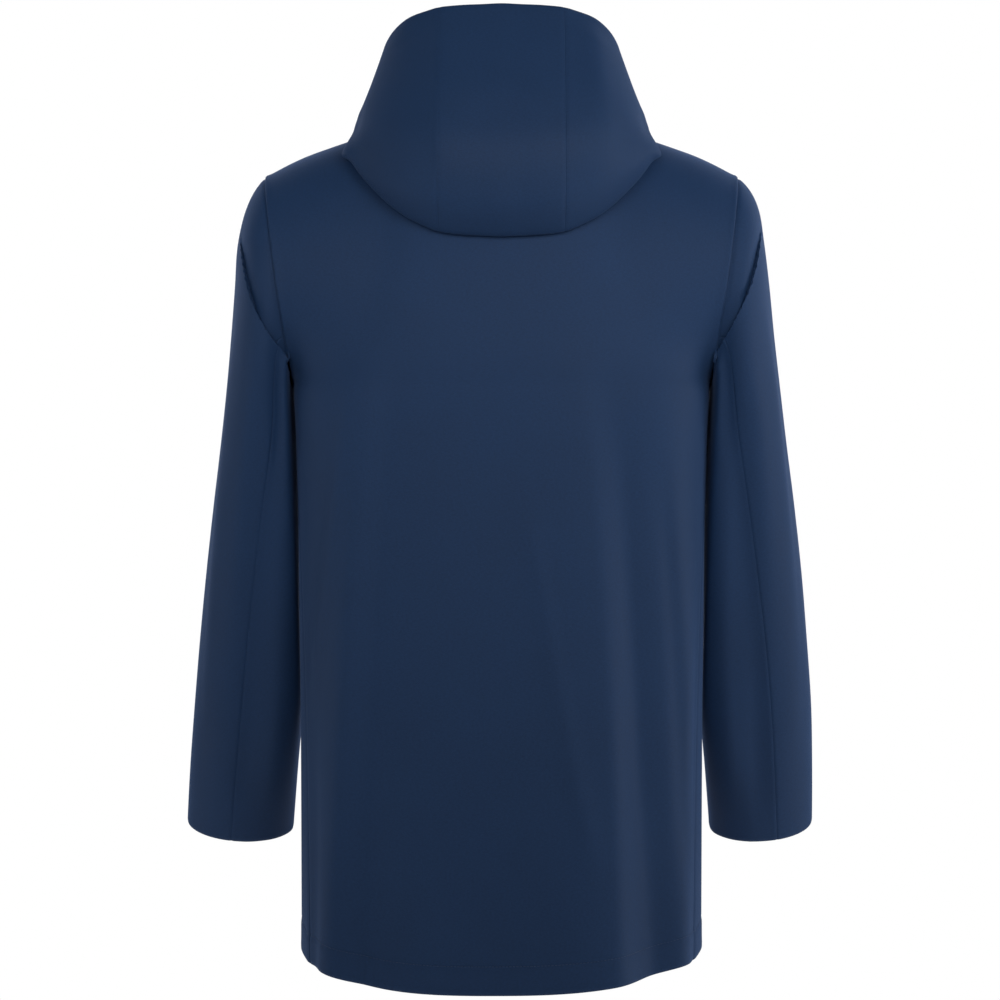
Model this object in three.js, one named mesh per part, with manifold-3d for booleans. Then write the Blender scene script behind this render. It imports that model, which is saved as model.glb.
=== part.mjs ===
// A hooded parka standing as worn, with nothing in it: the hood hangs down on the back.
// Millimetres, +Z up. The wearer faces -Y, so +X is the wearer's left. The origin is the middle of
// the neck, level with the two points where the shoulder seams reach the neckline.
//
// Every cloth panel is a wall: a grid of points on its outer face, and the same points moved in.
// Rows of a grid run up the garment and columns run anticlockwise seen from above.

import * as THREE from 'three';
import { mergeVertices } from 'three/addons/utils/BufferGeometryUtils.js';
import Module from 'manifold-3d';

// ---- Driving dimensions ----

const CLOTH = 1.6; // thickness of a panel
const SEAM_GAP = 0.3; // between two pieces sewn together
const TAPE = 0.8; // thickness of the zip tape

const UNDERARM_Z = -265;
const HEM_Z = -825; // of the hem at the sides
const TAIL_DROP = 0.27; // fall of the hem for each millimetre behind the side line
const FRONT_RISE = 0.05; // rise of the hem for each millimetre before it

const SHOULDER_TIP = point(235, -2, -57);
const SHOULDER_BEND = point(217, -1, -40);
const NECK_SIDE = point(88, 5, -2);
const NECK_BACK = point(0, 72, -14);
const NECK_FRONT_Z = -88;
const NECK_FRONT_Y = -73;

const ZIP_EDGE = 5; // from the centre front to the edge of each front
const ZIP_STITCH = 18; // from the centre front to the far edge of each tape
const TAPE_MIDDLE = 0.4; // from the centre front to the near edge of each tape
const TAPE_ENDS = 4; // the tape stops this far short of the hem and the rim

const CHEST_POWER = 2.4; // how long the chest and back stay upright
const SHOULDER_POWER = 0.55; // how roundly they turn over at the shoulder
const ARM_FADE = 2.5; // how soon the armhole's pull on the panel fades

const LOWER_ROWS = 8; // rows of a panel from hem to underarm
const UPPER_ROWS = 10; // and from underarm to shoulder
const SHOULDER_COLUMNS = 4;
const NECK_BACK_COLUMNS = 8; // half the back neckline, three of them in the hood's middle panel
const NECK_FRONT_COLUMNS = 7;
const HOOD_MIDDLE_COLUMNS = 3;
const HOOD_SEAM_X = 61; // the middle hood panel's half width
const SLEEVE_COLUMNS = 2 * UPPER_ROWS;

// The body at a height: half width, depths behind and in front of the side line, how square its
// section is (2 is an ellipse), and how far behind the side line the side seam runs.
const BODY = [
  { z: -825, halfWidth: 199.5, behind: 115, before: 113, square: 2.4, seam: 48 },
  { z: -600, halfWidth: 200.5, behind: 114, before: 115, square: 2.4, seam: 42 },
  { z: -430, halfWidth: 201.5, behind: 115, before: 117, square: 2.45, seam: 32 },
  { z: -330, halfWidth: 203.5, behind: 117, before: 118, square: 2.6, seam: 18 },
  { z: -265, halfWidth: 206, behind: 119, before: 118, square: 2.8, seam: 4 },
];

// A sleeve's rings from armhole to cuff. Each ring is an ellipse between a point on the outer line,
// whose X is given for the left and right sleeves, and a point on the inner line: depth is its half
// depth, middle the place of its centre in Y, and tilt how far its back dips, in degrees.
const SLEEVE = [
  { outerZ: -57, left: 235, right: 235, innerZ: -265, inner: 206, middle: -2, depth: 84, tilt: 0 },
  { outerZ: -67, left: 244, right: 246, innerZ: -266, inner: 207.3, middle: -2.5, depth: 85, tilt: 0 },
  { outerZ: -88, left: 254.5, right: 256.5, innerZ: -267.5, inner: 208.3, middle: -3, depth: 86, tilt: 0 },
  { outerZ: -120, left: 262.5, right: 261.5, innerZ: -270, inner: 208.6, middle: -5, depth: 86.5, tilt: 0 },
  { outerZ: -165, left: 266, right: 267.5, innerZ: -275, inner: 208.6, middle: -8, depth: 86, tilt: 1 },
  { outerZ: -215, left: 270.5, right: 273, innerZ: -284, inner: 208, middle: -12, depth: 84, tilt: 3 },
  { outerZ: -265, left: 275.5, right: 279.5, innerZ: -301, inner: 206.6, middle: -18, depth: 81, tilt: 5 },
  { outerZ: -320, left: 282.5, right: 287, innerZ: -336, inner: 204.8, middle: -27, depth: 77, tilt: 8 },
  { outerZ: -385, left: 291.5, right: 296.5, innerZ: -391, inner: 202.5, middle: -38, depth: 72, tilt: 11 },
  { outerZ: -450, left: 300, right: 305, innerZ: -454, inner: 200.5, middle: -51, depth: 67, tilt: 13 },
  { outerZ: -520, left: 308.5, right: 312.5, innerZ: -522, inner: 200.8, middle: -68, depth: 61, tilt: 15 },
  { outerZ: -590, left: 316, right: 319, innerZ: -592, inner: 204, middle: -85, depth: 55, tilt: 17 },
  { outerZ: -655, left: 322.5, right: 322, innerZ: -658, inner: 210.5, middle: -102, depth: 48, tilt: 20 },
  { outerZ: -712, left: 327, right: 323.5, innerZ: -719, inner: 216, middle: -117, depth: 41, tilt: 23 },
];

// Where the two sleeve seams run, as angles round the ring from its outer point: the back one and
// the front one, at each ring.
const SLEEVE_SEAMS = [
  { ring: 0, back: 126, front: 252 },
  { ring: 6, back: 116, front: 256 },
  { ring: 8, back: 98, front: 262 },
  { ring: 10, back: 84, front: 268 },
  { ring: 13, back: 79, front: 272 },
];
const SEAM_LEAN = { left: 4, right: -4 }; // the sleeves hang turned a little differently

// The hood's section round the neck: along is the share of the half neckline from centre back to
// centre front, fold the lowest point of the bag, bulge the middle of its outer wall, rim the edge
// of the face opening, roll how far the cloth stands up before it falls back, and puff the width
// of the fold.
const HOOD = [
  { along: 0, fold: [0, 121, -129], bulge: [0, 157, -45], rim: [0, 92, 100.5], roll: 45, puff: 13 },
  { along: 0.25, fold: [61, 117, -123], bulge: [61, 152, -42], rim: [61, 87, 97], roll: 43, puff: 12 },
  { along: 0.33, fold: [101, 107, -103], bulge: [106, 128, -28], rim: [95, 68, 88], roll: 38, puff: 10 },
  { along: 0.39, fold: [139, 80, -63], bulge: [132, 84, -8], rim: [112, 43, 73], roll: 31, puff: 7 },
  { along: 0.44, fold: [153, 46, -31], bulge: [138, 48, 5], rim: [118, 24, 62], roll: 27, puff: 4 },
  { along: 0.5, fold: [151, 10, -16], bulge: [136, 12, 14], rim: [119, 3, 52], roll: 25, puff: 3 },
  { along: 0.62, fold: [127, -28, -6], bulge: [121, -30, 14], rim: [107, -34, 36], roll: 22, puff: 2 },
  { along: 0.78, fold: [76, -64, -36], bulge: [76, -70, -12], rim: [66, -77, 17], roll: 9, puff: 1 },
  { along: 0.9, fold: [35, -75, -57], bulge: [35, -81, -28], rim: [32, -88, 9], roll: 2, puff: 0 },
  { along: 1, fold: [5, -77, -65], bulge: [5, -84, -35], rim: [5, -92, 5], roll: 0, puff: 0 },
];

const ROLL = { near: 0.15, far: 0.6, farHeight: 0.72 }; // shares of the way to the fold, and of roll
const PUFF_AT = 0.2; // share of the way from the fold to the bulge
const HOOD_ROWS = [2, 2, 2, 1, 2, 3]; // rows between the stops of a section

const CURVE_STEPS = 80; // points that a curve is read at before it is spaced out

// The zip's hard pieces. The slider's waist and shoulder are shares of its half length, and its
// nose a share of its top width.
const SLIDER = { top: 8.2, bottom: 6.6, length: 11, depth: 3.2, belowRim: 10 };
const SLIDER_OUTLINE = { waist: -0.1, shoulder: 0.55, nose: 0.8 };
const BRIDGE = { width: 2.2, low: -4, high: 4.5, rise: 7.2, leg: 1.4, roof: 1.2, round: 1.8, sunk: 0.5 };
const PIVOT = { up: 1.5, out: 4.6 };
const PULL = { width: 6.8, end: 5.4, length: 30, depth: 1.4, bar: 0.75, hole: 8, holeWidth: 4 };
const PULL_TAPER = { start: 10, stop: 13 }; // below the pivot
const BOX = { width: 8.4, length: 9, depth: 3, above: 5, corner: 1.2 };

// ---- Small tools ----

function point(x, y, z) {
  return new THREE.Vector3(x, y, z);
}

function mix(a, b, share) {
  return a.clone().lerp(b, share);
}

// A smooth curve through one column of a table, or one axis of it, at a place along its key column.
function smooth(table, key, place, column, axis) {
  const value = (row) => (axis === undefined ? row[column] : row[column][axis]);
  let i = table.findIndex((row) => row[key] >= place);
  if (i < 0) i = table.length - 1;
  i = Math.max(i, 1);
  const slope = (k) => {
    const before = table[Math.max(k - 1, 0)];
    const after = table[Math.min(k + 1, table.length - 1)];
    return (value(after) - value(before)) / (after[key] - before[key]);
  };
  const low = table[i - 1];
  const high = table[i];
  const span = high[key] - low[key];
  const t = (place - low[key]) / span;
  const t2 = t * t;
  const t3 = t2 * t;
  return (2 * t3 - 3 * t2 + 1) * value(low) + (t3 - 2 * t2 + t) * span * slope(i - 1)
    + (3 * t2 - 2 * t3) * value(high) + (t3 - t2) * span * slope(i);
}

// Points along a curve or a polyline, at equal steps of its length.
function spaced(line, steps) {
  const length = [0];
  for (let i = 1; i < line.length; i += 1) {
    length.push(length[i - 1] + line[i].distanceTo(line[i - 1]));
  }
  const total = length[length.length - 1];
  const points = [];
  for (let k = 0; k <= steps; k += 1) {
    const want = (total * k) / steps;
    let i = 1;
    while (i < line.length - 1 && length[i] < want) i += 1;
    points.push(mix(line[i - 1], line[i], (want - length[i - 1]) / (length[i] - length[i - 1])));
  }
  return points;
}

// The grid of the other side of the garment.
function mirrored(grid) {
  return grid.map((row) => row.map((p) => point(-p.x, p.y, p.z)).reverse());
}

function columns(grid, from, to) {
  return grid.map((row) => row.slice(from, to + 1));
}

// ---- The body ----

// The plan of half the body at a height, from the centre back round the side to the front edge.
function bodyPlan(z) {
  const at = (column) => smooth(BODY, 'z', z, column);
  const power = 2 / at('square');
  const plan = [];
  for (let k = 0; k <= 2 * CURVE_STEPS; k += 1) {
    const turn = (Math.PI * k) / (2 * CURVE_STEPS);
    const x = at('halfWidth') * Math.abs(Math.sin(turn)) ** power;
    const reach = Math.cos(turn) > 0 ? at('behind') : -at('before');
    const y = reach * Math.abs(Math.cos(turn)) ** power;
    if (y < 0 && x < ZIP_EDGE) break;
    plan.push(point(x, y, z));
  }
  plan.push(point(ZIP_EDGE, plan[plan.length - 1].y, z));
  return plan;
}

// One row of half the body at a height, from the place on its plan that is edgeY behind the side
// line: round to the centre back, or forward to the zip with a point at the tape's stitching.
function bodyRow(part, z, edgeY) {
  const plan = bodyPlan(z);
  const k = plan.findIndex((p) => p.y < edgeY);
  const edge = mix(plan[k - 1], plan[k], (plan[k - 1].y - edgeY) / (plan[k - 1].y - plan[k].y));
  if (part === 'back') {
    return spaced([edge, ...plan.slice(0, k).reverse()], SHOULDER_COLUMNS + NECK_BACK_COLUMNS);
  }
  const before = [edge, ...plan.slice(k)];
  const stitch = before.findIndex((p) => p.x < ZIP_STITCH);
  const stitchPoint = point(ZIP_STITCH, before[stitch].y, z);
  return [
    ...spaced([...before.slice(0, stitch), stitchPoint], SHOULDER_COLUMNS + NECK_FRONT_COLUMNS - 1),
    before[before.length - 1],
  ];
}

// The armhole is the sleeve's first ring. Angle 0 is the shoulder tip, 90 the back, 180 the
// underarm and 270 the front.
function armhole(angle) {
  return sleevePoint(SLEEVE[0], SLEEVE[0].left, angle);
}

const shoulderSeam = new THREE.QuadraticBezierCurve3(SHOULDER_TIP, SHOULDER_BEND, NECK_SIDE);
const neckBehind = new THREE.CubicBezierCurve3(
  NECK_SIDE, point(88, 42, -6), point(46, 72, -13.5), NECK_BACK,
);
const neckBefore = new THREE.CubicBezierCurve3(
  NECK_SIDE, point(90, -35, -28), point(50, NECK_FRONT_Y, NECK_FRONT_Z + 3),
  point(ZIP_EDGE, NECK_FRONT_Y, NECK_FRONT_Z),
);

// The shoulder seam from its tip to the neck.
function shoulderPoints() {
  return spaced(shoulderSeam.getPoints(CURVE_STEPS), SHOULDER_COLUMNS);
}

// Half the back neckline from its side to the centre back, with a point at the hood's seam.
function neckBehindPoints() {
  const line = neckBehind.getPoints(CURVE_STEPS);
  const k = line.findIndex((p) => p.x < HOOD_SEAM_X);
  const [before, after] = [line[k - 1], line[k]];
  const seamPoint = mix(before, after, (before.x - HOOD_SEAM_X) / (before.x - after.x));
  return [
    ...spaced([...line.slice(0, k), seamPoint], NECK_BACK_COLUMNS - HOOD_MIDDLE_COLUMNS),
    ...spaced([seamPoint, ...line.slice(k)], HOOD_MIDDLE_COLUMNS).slice(1),
  ];
}

// The front neckline from its side to the front edge, with a point at the tape's stitching.
function neckBeforePoints() {
  const line = neckBefore.getPoints(CURVE_STEPS);
  const k = line.findIndex((p) => p.x < ZIP_STITCH);
  return [...spaced(line.slice(0, k), NECK_FRONT_COLUMNS - 1), line[line.length - 1]];
}

// Rows from hem to underarm, each at its height, with the tail of the hem dropped.
function lowerRows(part) {
  const rows = [];
  for (let j = 0; j <= LOWER_ROWS; j += 1) {
    const up = j / LOWER_ROWS;
    const z = HEM_Z + (UNDERARM_Z - HEM_Z) * up;
    rows.push(bodyRow(part, z, smooth(BODY, 'z', z, 'seam')).map((p) => {
      const drop = p.y > 0 ? -TAIL_DROP * p.y : -FRONT_RISE * p.y;
      return point(p.x, p.y, z + drop * (1 - up) ** 2);
    }));
  }
  return rows;
}

// Rows from underarm to shoulder. Each is a mix of the plan at the underarm and the top edge,
// upright below and rounding over above, and is drawn to the armhole at its outer end.
function upperRows(part, top, armAngle) {
  const rows = [];
  for (let j = 1; j <= UPPER_ROWS; j += 1) {
    const up = (1 - Math.cos((Math.PI * j) / UPPER_ROWS)) / 2;
    const over = 1 - (1 - up ** CHEST_POWER) ** SHOULDER_POWER;
    const arm = armhole(armAngle(j / UPPER_ROWS));
    const bottom = bodyRow(part, UNDERARM_Z, arm.y);
    const row = bottom.map((p, i) => {
      const mixed = mix(p, top[i], up);
      mixed.y = p.y + (top[i].y - p.y) * over;
      return mixed;
    });
    const short = arm.clone().sub(row[0]);
    const last = row.length - 1;
    rows.push(row.map((p, i) => p.addScaledVector(short, (1 - i / last) ** ARM_FADE)));
  }
  return rows;
}

function backGrid() {
  const lower = lowerRows('back');
  lower[LOWER_ROWS][0] = armhole(180);
  const top = [...shoulderPoints(), ...neckBehindPoints().slice(1)];
  const half = [...lower, ...upperRows('back', top, (v) => 180 * (1 - v))];
  const other = mirrored(half);
  return half.map((row, j) => [...row, ...other[j].slice(1)]);
}

function frontGrid() {
  const lower = lowerRows('front');
  lower[LOWER_ROWS][0] = armhole(180);
  const top = [...shoulderPoints(), ...neckBeforePoints().slice(1)];
  const rows = [...lower, ...upperRows('front', top, (v) => 180 * (1 + v))];
  return rows.map((row) => [...row].reverse());
}

// ---- The sleeves ----

function sleevePoint(ring, outer, angle) {
  const turn = THREE.MathUtils.degToRad(angle);
  const tilt = THREE.MathUtils.degToRad(ring.tilt);
  const along = point((outer - ring.inner) / 2, 0, (ring.outerZ - ring.innerZ) / 2);
  const behind = point(0, ring.depth * Math.cos(tilt), -ring.depth * Math.sin(tilt));
  const centre = point((outer + ring.inner) / 2, ring.middle, (ring.outerZ + ring.innerZ) / 2);
  return centre.addScaledVector(along, Math.cos(turn)).addScaledVector(behind, Math.sin(turn));
}

// The columns that the two sleeve seams follow.
const BACK_SEAM = Math.round((SLEEVE_SEAMS[0].back / 360) * SLEEVE_COLUMNS);
const FRONT_SEAM = Math.round((SLEEVE_SEAMS[0].front / 360) * SLEEVE_COLUMNS);

// The angle of a column of a ring: even at the armhole, and eased round to the seams below it.
function sleeveAngle(column, ring, lean) {
  const back = smooth(SLEEVE_SEAMS, 'ring', ring, 'back') + lean * Math.min(ring / 6, 1);
  const front = smooth(SLEEVE_SEAMS, 'ring', ring, 'front') + lean * Math.min(ring / 6, 1);
  const stops = [
    [0, 0],
    [BACK_SEAM, back],
    [FRONT_SEAM, front],
    [SLEEVE_COLUMNS, 360],
  ];
  const k = Math.max(stops.findIndex((stop) => stop[0] >= column), 1);
  const [low, high] = [stops[k - 1], stops[k]];
  return low[1] + ((high[1] - low[1]) * (column - low[0])) / (high[0] - low[0]);
}

// A whole sleeve, cuff first, as a closed ring of columns.
function sleeveGrid(side) {
  return SLEEVE.map((ring, k) => {
    const row = [];
    for (let i = 0; i <= SLEEVE_COLUMNS; i += 1) {
      row.push(sleevePoint(ring, ring[side], sleeveAngle(i, k, SEAM_LEAN[side])));
    }
    return row;
  }).reverse();
}

function sleevePieces(side) {
  const grid = sleeveGrid(side);
  const rest = columns(grid, FRONT_SEAM, SLEEVE_COLUMNS);
  const upper = rest.map((row, j) => [...row, ...grid[j].slice(1, BACK_SEAM + 1)]);
  const under = columns(grid, BACK_SEAM, FRONT_SEAM);
  return side === 'left' ? { upper, under } : { upper: mirrored(upper), under: mirrored(under) };
}

// ---- The hood ----

// One section of the hood, from the neck seam over the roll, down to the fold and up to the rim.
function hoodSection(neck, along) {
  const at = (column, axis) => smooth(HOOD, 'along', along, column, axis);
  const [fold, bulge, rim] = ['fold', 'bulge', 'rim'].map(
    (column) => point(...[0, 1, 2].map((axis) => at(column, axis))),
  );
  const up = point(0, 0, 1);
  const out = point(bulge.x - neck.x / 2, bulge.y - neck.y / 2, 0).normalize();
  const stops = [
    neck,
    mix(neck, fold, ROLL.near).addScaledVector(up, at('roll')),
    mix(neck, fold, ROLL.far).addScaledVector(up, ROLL.farHeight * at('roll')),
    fold,
    mix(fold, bulge, PUFF_AT).addScaledVector(out, at('puff')),
    bulge,
    rim,
  ];
  const curve = new THREE.CatmullRomCurve3(stops, false, 'centripetal');
  const section = [neck.clone()];
  HOOD_ROWS.forEach((count, k) => {
    for (let n = 1; n <= count; n += 1) {
      section.push(curve.getPoint((k + n / count) / HOOD_ROWS.length));
    }
  });
  return section;
}

// Half the hood, from the zip round to the centre back, as columns of sections.
function hoodGrid() {
  const line = [...neckBeforePoints().reverse(), ...neckBehindPoints().slice(1)];
  const length = [0];
  for (let i = 1; i < line.length; i += 1) {
    length.push(length[i - 1] + line[i].distanceTo(line[i - 1]));
  }
  const total = length[length.length - 1];
  const sections = line.map((neck, i) => hoodSection(neck, 1 - length[i] / total));
  const middle = line.length - 1;
  sections[middle].forEach((p) => { p.x = 0; });
  sections[middle - HOOD_MIDDLE_COLUMNS].forEach((p) => { p.x = HOOD_SEAM_X; });
  sections[0].forEach((p) => { p.x = ZIP_EDGE; });
  const half = sections[0].map((_, j) => sections.map((section) => section[j]));
  const other = mirrored(half);
  return half.map((row, j) => [...row, ...other[j].slice(1)]);
}

// ---- Walls ----

const keyOf = (p) => [p.x, p.y, p.z].map((v) => Math.round(v * 100)).join();

// Outward directions for the points of every panel, shared where panels meet, so that two walls
// joined at a seam are mitred.
function sharedNormals(grids) {
  const sums = new Map();
  const add = (p, normal) => {
    const key = keyOf(p);
    if (!sums.has(key)) sums.set(key, point(0, 0, 0));
    sums.get(key).add(normal);
  };
  Object.values(grids).forEach((grid) => {
    for (let j = 1; j < grid.length; j += 1) {
      for (let i = 1; i < grid[j].length; i += 1) {
        const corners = [grid[j - 1][i - 1], grid[j - 1][i], grid[j][i], grid[j][i - 1]];
        const across = corners[2].clone().sub(corners[0]);
        const normal = across.cross(corners[3].clone().sub(corners[1])).normalize();
        corners.forEach((p) => add(p, normal));
      }
    }
  });
  return (p) => sums.get(keyOf(p)).clone().normalize();
}

// A panel's points with its edges drawn in by half the seam gap, and their outward directions. A
// point on the edge moves square to both stretches of edge that meet there.
function panel(grid, normalAt) {
  const rows = grid.length;
  const cols = grid[0].length;
  const squareTo = (p, next, inside) => {
    const edge = next.clone().sub(p).normalize();
    const inward = inside.clone().sub(p);
    return inward.addScaledVector(edge, -inward.dot(edge)).normalize();
  };
  const points = grid.map((row, j) => row.map((p, i) => {
    const inward = [];
    if (i === 0 || i === cols - 1) {
      const inside = row[i === 0 ? 1 : cols - 2];
      if (j > 0) inward.push(squareTo(p, grid[j - 1][i], inside));
      if (j < rows - 1) inward.push(squareTo(p, grid[j + 1][i], inside));
    }
    if (j === 0 || j === rows - 1) {
      const inside = grid[j === 0 ? 1 : rows - 2][i];
      if (i > 0) inward.push(squareTo(p, row[i - 1], inside));
      if (i < cols - 1) inward.push(squareTo(p, row[i + 1], inside));
    }
    if (inward.length === 0) return p.clone();
    const [one, two] = inward;
    const reach = SEAM_GAP / 2 / Math.max(1 + one.dot(two), 0.5);
    return p.clone().addScaledVector(one, reach).addScaledVector(two, reach);
  }));
  return { points, normals: grid.map((row) => row.map(normalAt)) };
}

// The closed wall of a panel: its outer face, its inner face and the edge between them.
function wallGeometry({ points, normals }, thickness, depth = 0) {
  const rows = points.length;
  const cols = points[0].length;
  const positions = [];
  [depth, depth + thickness].forEach((inward) => {
    points.forEach((row, j) => row.forEach((p, i) => {
      positions.push(...p.clone().addScaledVector(normals[j][i], -inward).toArray());
    }));
  });
  const outer = (j, i) => j * cols + i;
  const inner = (j, i) => rows * cols + j * cols + i;
  const index = [];
  for (let j = 1; j < rows; j += 1) {
    for (let i = 1; i < cols; i += 1) {
      index.push(outer(j - 1, i - 1), outer(j - 1, i), outer(j, i));
      index.push(outer(j - 1, i - 1), outer(j, i), outer(j, i - 1));
      index.push(inner(j - 1, i - 1), inner(j, i), inner(j - 1, i));
      index.push(inner(j - 1, i - 1), inner(j, i - 1), inner(j, i));
    }
  }
  // Two panels that share an edge split its twisted strip along the same diagonals.
  const rank = ([j, i]) => points[j][i].z + 0.37 * points[j][i].y;
  const strip = (a, b) => {
    if (rank(a) < rank(b)) {
      index.push(outer(...a), outer(...b), inner(...b), outer(...a), inner(...b), inner(...a));
    } else {
      index.push(outer(...a), outer(...b), inner(...a), outer(...b), inner(...b), inner(...a));
    }
  };
  for (let i = 1; i < cols; i += 1) {
    strip([0, i], [0, i - 1]);
    strip([rows - 1, i - 1], [rows - 1, i]);
  }
  for (let j = 1; j < rows; j += 1) {
    strip([j - 1, 0], [j, 0]);
    strip([j, cols - 1], [j - 1, cols - 1]);
  }
  const geometry = new THREE.BufferGeometry();
  geometry.setAttribute('position', new THREE.Float32BufferAttribute(positions, 3));
  geometry.setIndex(index);
  geometry.computeVertexNormals();
  return geometry;
}

// ---- The zip ----

// The left tape follows the front and the hood's front edge, just inside their inner faces, and
// reaches on from the front edge to the centre.
function tapePanel(front, hood) {
  const rows = (part, name) => part[name].map((row) => row.slice(0, 2));
  const points = [...rows(front, 'points'), ...rows(hood, 'points')];
  const normals = [...rows(front, 'normals'), ...rows(hood, 'normals')];
  const shorten = (end, next) => points[end].forEach((p, i) => {
    p.add(points[next][i].clone().sub(p).setLength(TAPE_ENDS));
  });
  points.forEach((row, j) => {
    points[j] = row.map((p) => p.clone());
  });
  shorten(0, 1);
  shorten(points.length - 1, points.length - 2);
  return {
    points: points.map(([edge, far]) => [point(TAPE_MIDDLE, edge.y, edge.z), edge, far]),
    normals: normals.map(([edge, far]) => [point(0, edge.y, edge.z).normalize(), edge, far]),
  };
}

function mirroredPanel(part) {
  return { points: mirrored(part.points), normals: mirrored(part.normals) };
}

const manifold = await Module();
manifold.setup();

function solidOf(geometry) {
  geometry.deleteAttribute('normal');
  geometry.deleteAttribute('uv');
  const merged = mergeVertices(geometry, 1e-4);
  return new manifold.Manifold(new manifold.Mesh({
    numProp: 3,
    vertProperties: Float32Array.from(merged.attributes.position.array),
    triVerts: Uint32Array.from(merged.index.array),
  }));
}

function geometryOf(solid) {
  const mesh = solid.getMesh();
  const geometry = new THREE.BufferGeometry();
  geometry.setAttribute('position', new THREE.Float32BufferAttribute(mesh.vertProperties, 3));
  geometry.setIndex(Array.from(mesh.triVerts));
  geometry.computeVertexNormals();
  return geometry;
}

// The zip's hard pieces are made lying down: X across, Y up the zip, Z out from the cloth.
function sliderGeometry() {
  const top = SLIDER.top / 2;
  const bottom = SLIDER.bottom / 2;
  const half = SLIDER.length / 2;
  const waist = half * SLIDER_OUTLINE.waist;
  const shoulder = half * SLIDER_OUTLINE.shoulder;
  const nose = top * SLIDER_OUTLINE.nose;
  const outline = new THREE.Shape([
    [-bottom, -half], [bottom, -half], [bottom, waist], [top, shoulder],
    [nose, half], [-nose, half], [-top, shoulder], [-bottom, waist],
  ].map(([a, b]) => new THREE.Vector2(a, b)));
  const body = new THREE.ExtrudeGeometry(outline, { depth: SLIDER.depth, bevelEnabled: false });

  const { low, high, leg, rise, round } = BRIDGE;
  const foot = SLIDER.depth - BRIDGE.sunk;
  const arch = new THREE.Shape();
  arch.moveTo(low, foot);
  arch.lineTo(low + leg, foot);
  arch.lineTo(low + leg, rise - BRIDGE.roof);
  arch.lineTo(high - leg, rise - BRIDGE.roof);
  arch.lineTo(high - leg, foot);
  arch.lineTo(high, foot);
  arch.lineTo(high, rise - round);
  arch.quadraticCurveTo(high, rise, high - round, rise);
  arch.lineTo(low + round, rise);
  arch.quadraticCurveTo(low, rise, low, rise - round);
  const bridge = new THREE.ExtrudeGeometry(arch, {
    depth: BRIDGE.width, bevelEnabled: false, curveSegments: 3,
  });
  // The arch is drawn with Y as its first axis and Z as its second, and is stood up across X.
  bridge.translate(0, 0, -BRIDGE.width / 2);
  const stand = new THREE.Matrix4().makeBasis(point(0, 1, 0), point(0, 0, 1), point(1, 0, 0));
  bridge.applyMatrix4(stand);
  return geometryOf(solidOf(body).add(solidOf(bridge)));
}

function pullGeometry() {
  const half = PULL.width / 2;
  const end = PULL.end / 2;
  const outline = new THREE.Shape();
  outline.moveTo(-half, PULL.bar);
  outline.lineTo(-half, -PULL_TAPER.start);
  outline.lineTo(-end, -PULL_TAPER.stop);
  outline.lineTo(-end, -PULL.length + end);
  outline.absarc(0, -PULL.length + end, end, Math.PI, 2 * Math.PI, false);
  outline.lineTo(end, -PULL_TAPER.stop);
  outline.lineTo(half, -PULL_TAPER.start);
  outline.lineTo(half, PULL.bar);
  const hole = new THREE.Path();
  hole.moveTo(-PULL.holeWidth / 2, -PULL.bar);
  hole.lineTo(PULL.holeWidth / 2, -PULL.bar);
  hole.lineTo(PULL.holeWidth / 2, -PULL.hole);
  hole.lineTo(-PULL.holeWidth / 2, -PULL.hole);
  outline.holes.push(hole);
  const plate = new THREE.ExtrudeGeometry(outline, {
    depth: PULL.depth, bevelEnabled: false, curveSegments: 6,
  });
  return plate.translate(0, 0, -PULL.depth / 2);
}

function boxGeometry() {
  const x = BOX.width / 2;
  const y = BOX.length / 2;
  const cut = BOX.corner;
  const outline = new THREE.Shape([
    [-x + cut, -y], [x - cut, -y], [x, -y + cut], [x, y - cut],
    [x - cut, y], [-x + cut, y], [-x, y - cut], [-x, -y + cut],
  ].map(([a, b]) => new THREE.Vector2(a, b)));
  return new THREE.ExtrudeGeometry(outline, { depth: BOX.depth, bevelEnabled: false });
}

// A frame on the zip between two points of a front edge: its origin is on the tape's outer face, a
// distance below the higher point, its Y axis runs up the edge and its Z axis out.
function zipFrame(low, high, distance) {
  const up = high.clone().sub(low).normalize();
  const out = point(0, -up.z, up.y);
  const place = high.clone().addScaledVector(up, -distance).addScaledVector(out, -CLOTH);
  place.x = 0;
  const group = new THREE.Group();
  group.position.copy(place);
  group.rotation.x = Math.atan2(up.z, up.y);
  return group;
}

// ---- The parka ----

const left = sleevePieces('left');
const right = sleevePieces('right');
const hood = hoodGrid();
const hoodColumns = hood[0].length - 1;
const seamColumn = hoodColumns / 2 - HOOD_MIDDLE_COLUMNS;
const front = frontGrid();

const grids = {
  back: backGrid(),
  front_left: front,
  front_right: mirrored(front),
  sleeve_left_upper: left.upper,
  sleeve_left_under: left.under,
  sleeve_right_upper: right.upper,
  sleeve_right_under: right.under,
  hood_left: columns(hood, 0, seamColumn),
  hood_centre: columns(hood, seamColumn, hoodColumns - seamColumn),
  hood_right: columns(hood, hoodColumns - seamColumn, hoodColumns),
};

const shell = new THREE.MeshStandardMaterial({ color: 0x2a3a54, roughness: 0.72, metalness: 0 });
const hoodShell = new THREE.MeshStandardMaterial({ color: 0x27374f, roughness: 0.72, metalness: 0 });
const webbing = new THREE.MeshStandardMaterial({ color: 0x1b2434, roughness: 0.85, metalness: 0 });
const metal = new THREE.MeshStandardMaterial({ color: 0x2b2e33, roughness: 0.4, metalness: 0.8 });

function mesh(name, geometry, material) {
  const piece = new THREE.Mesh(geometry, material.clone());
  piece.name = name;
  return piece;
}

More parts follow.
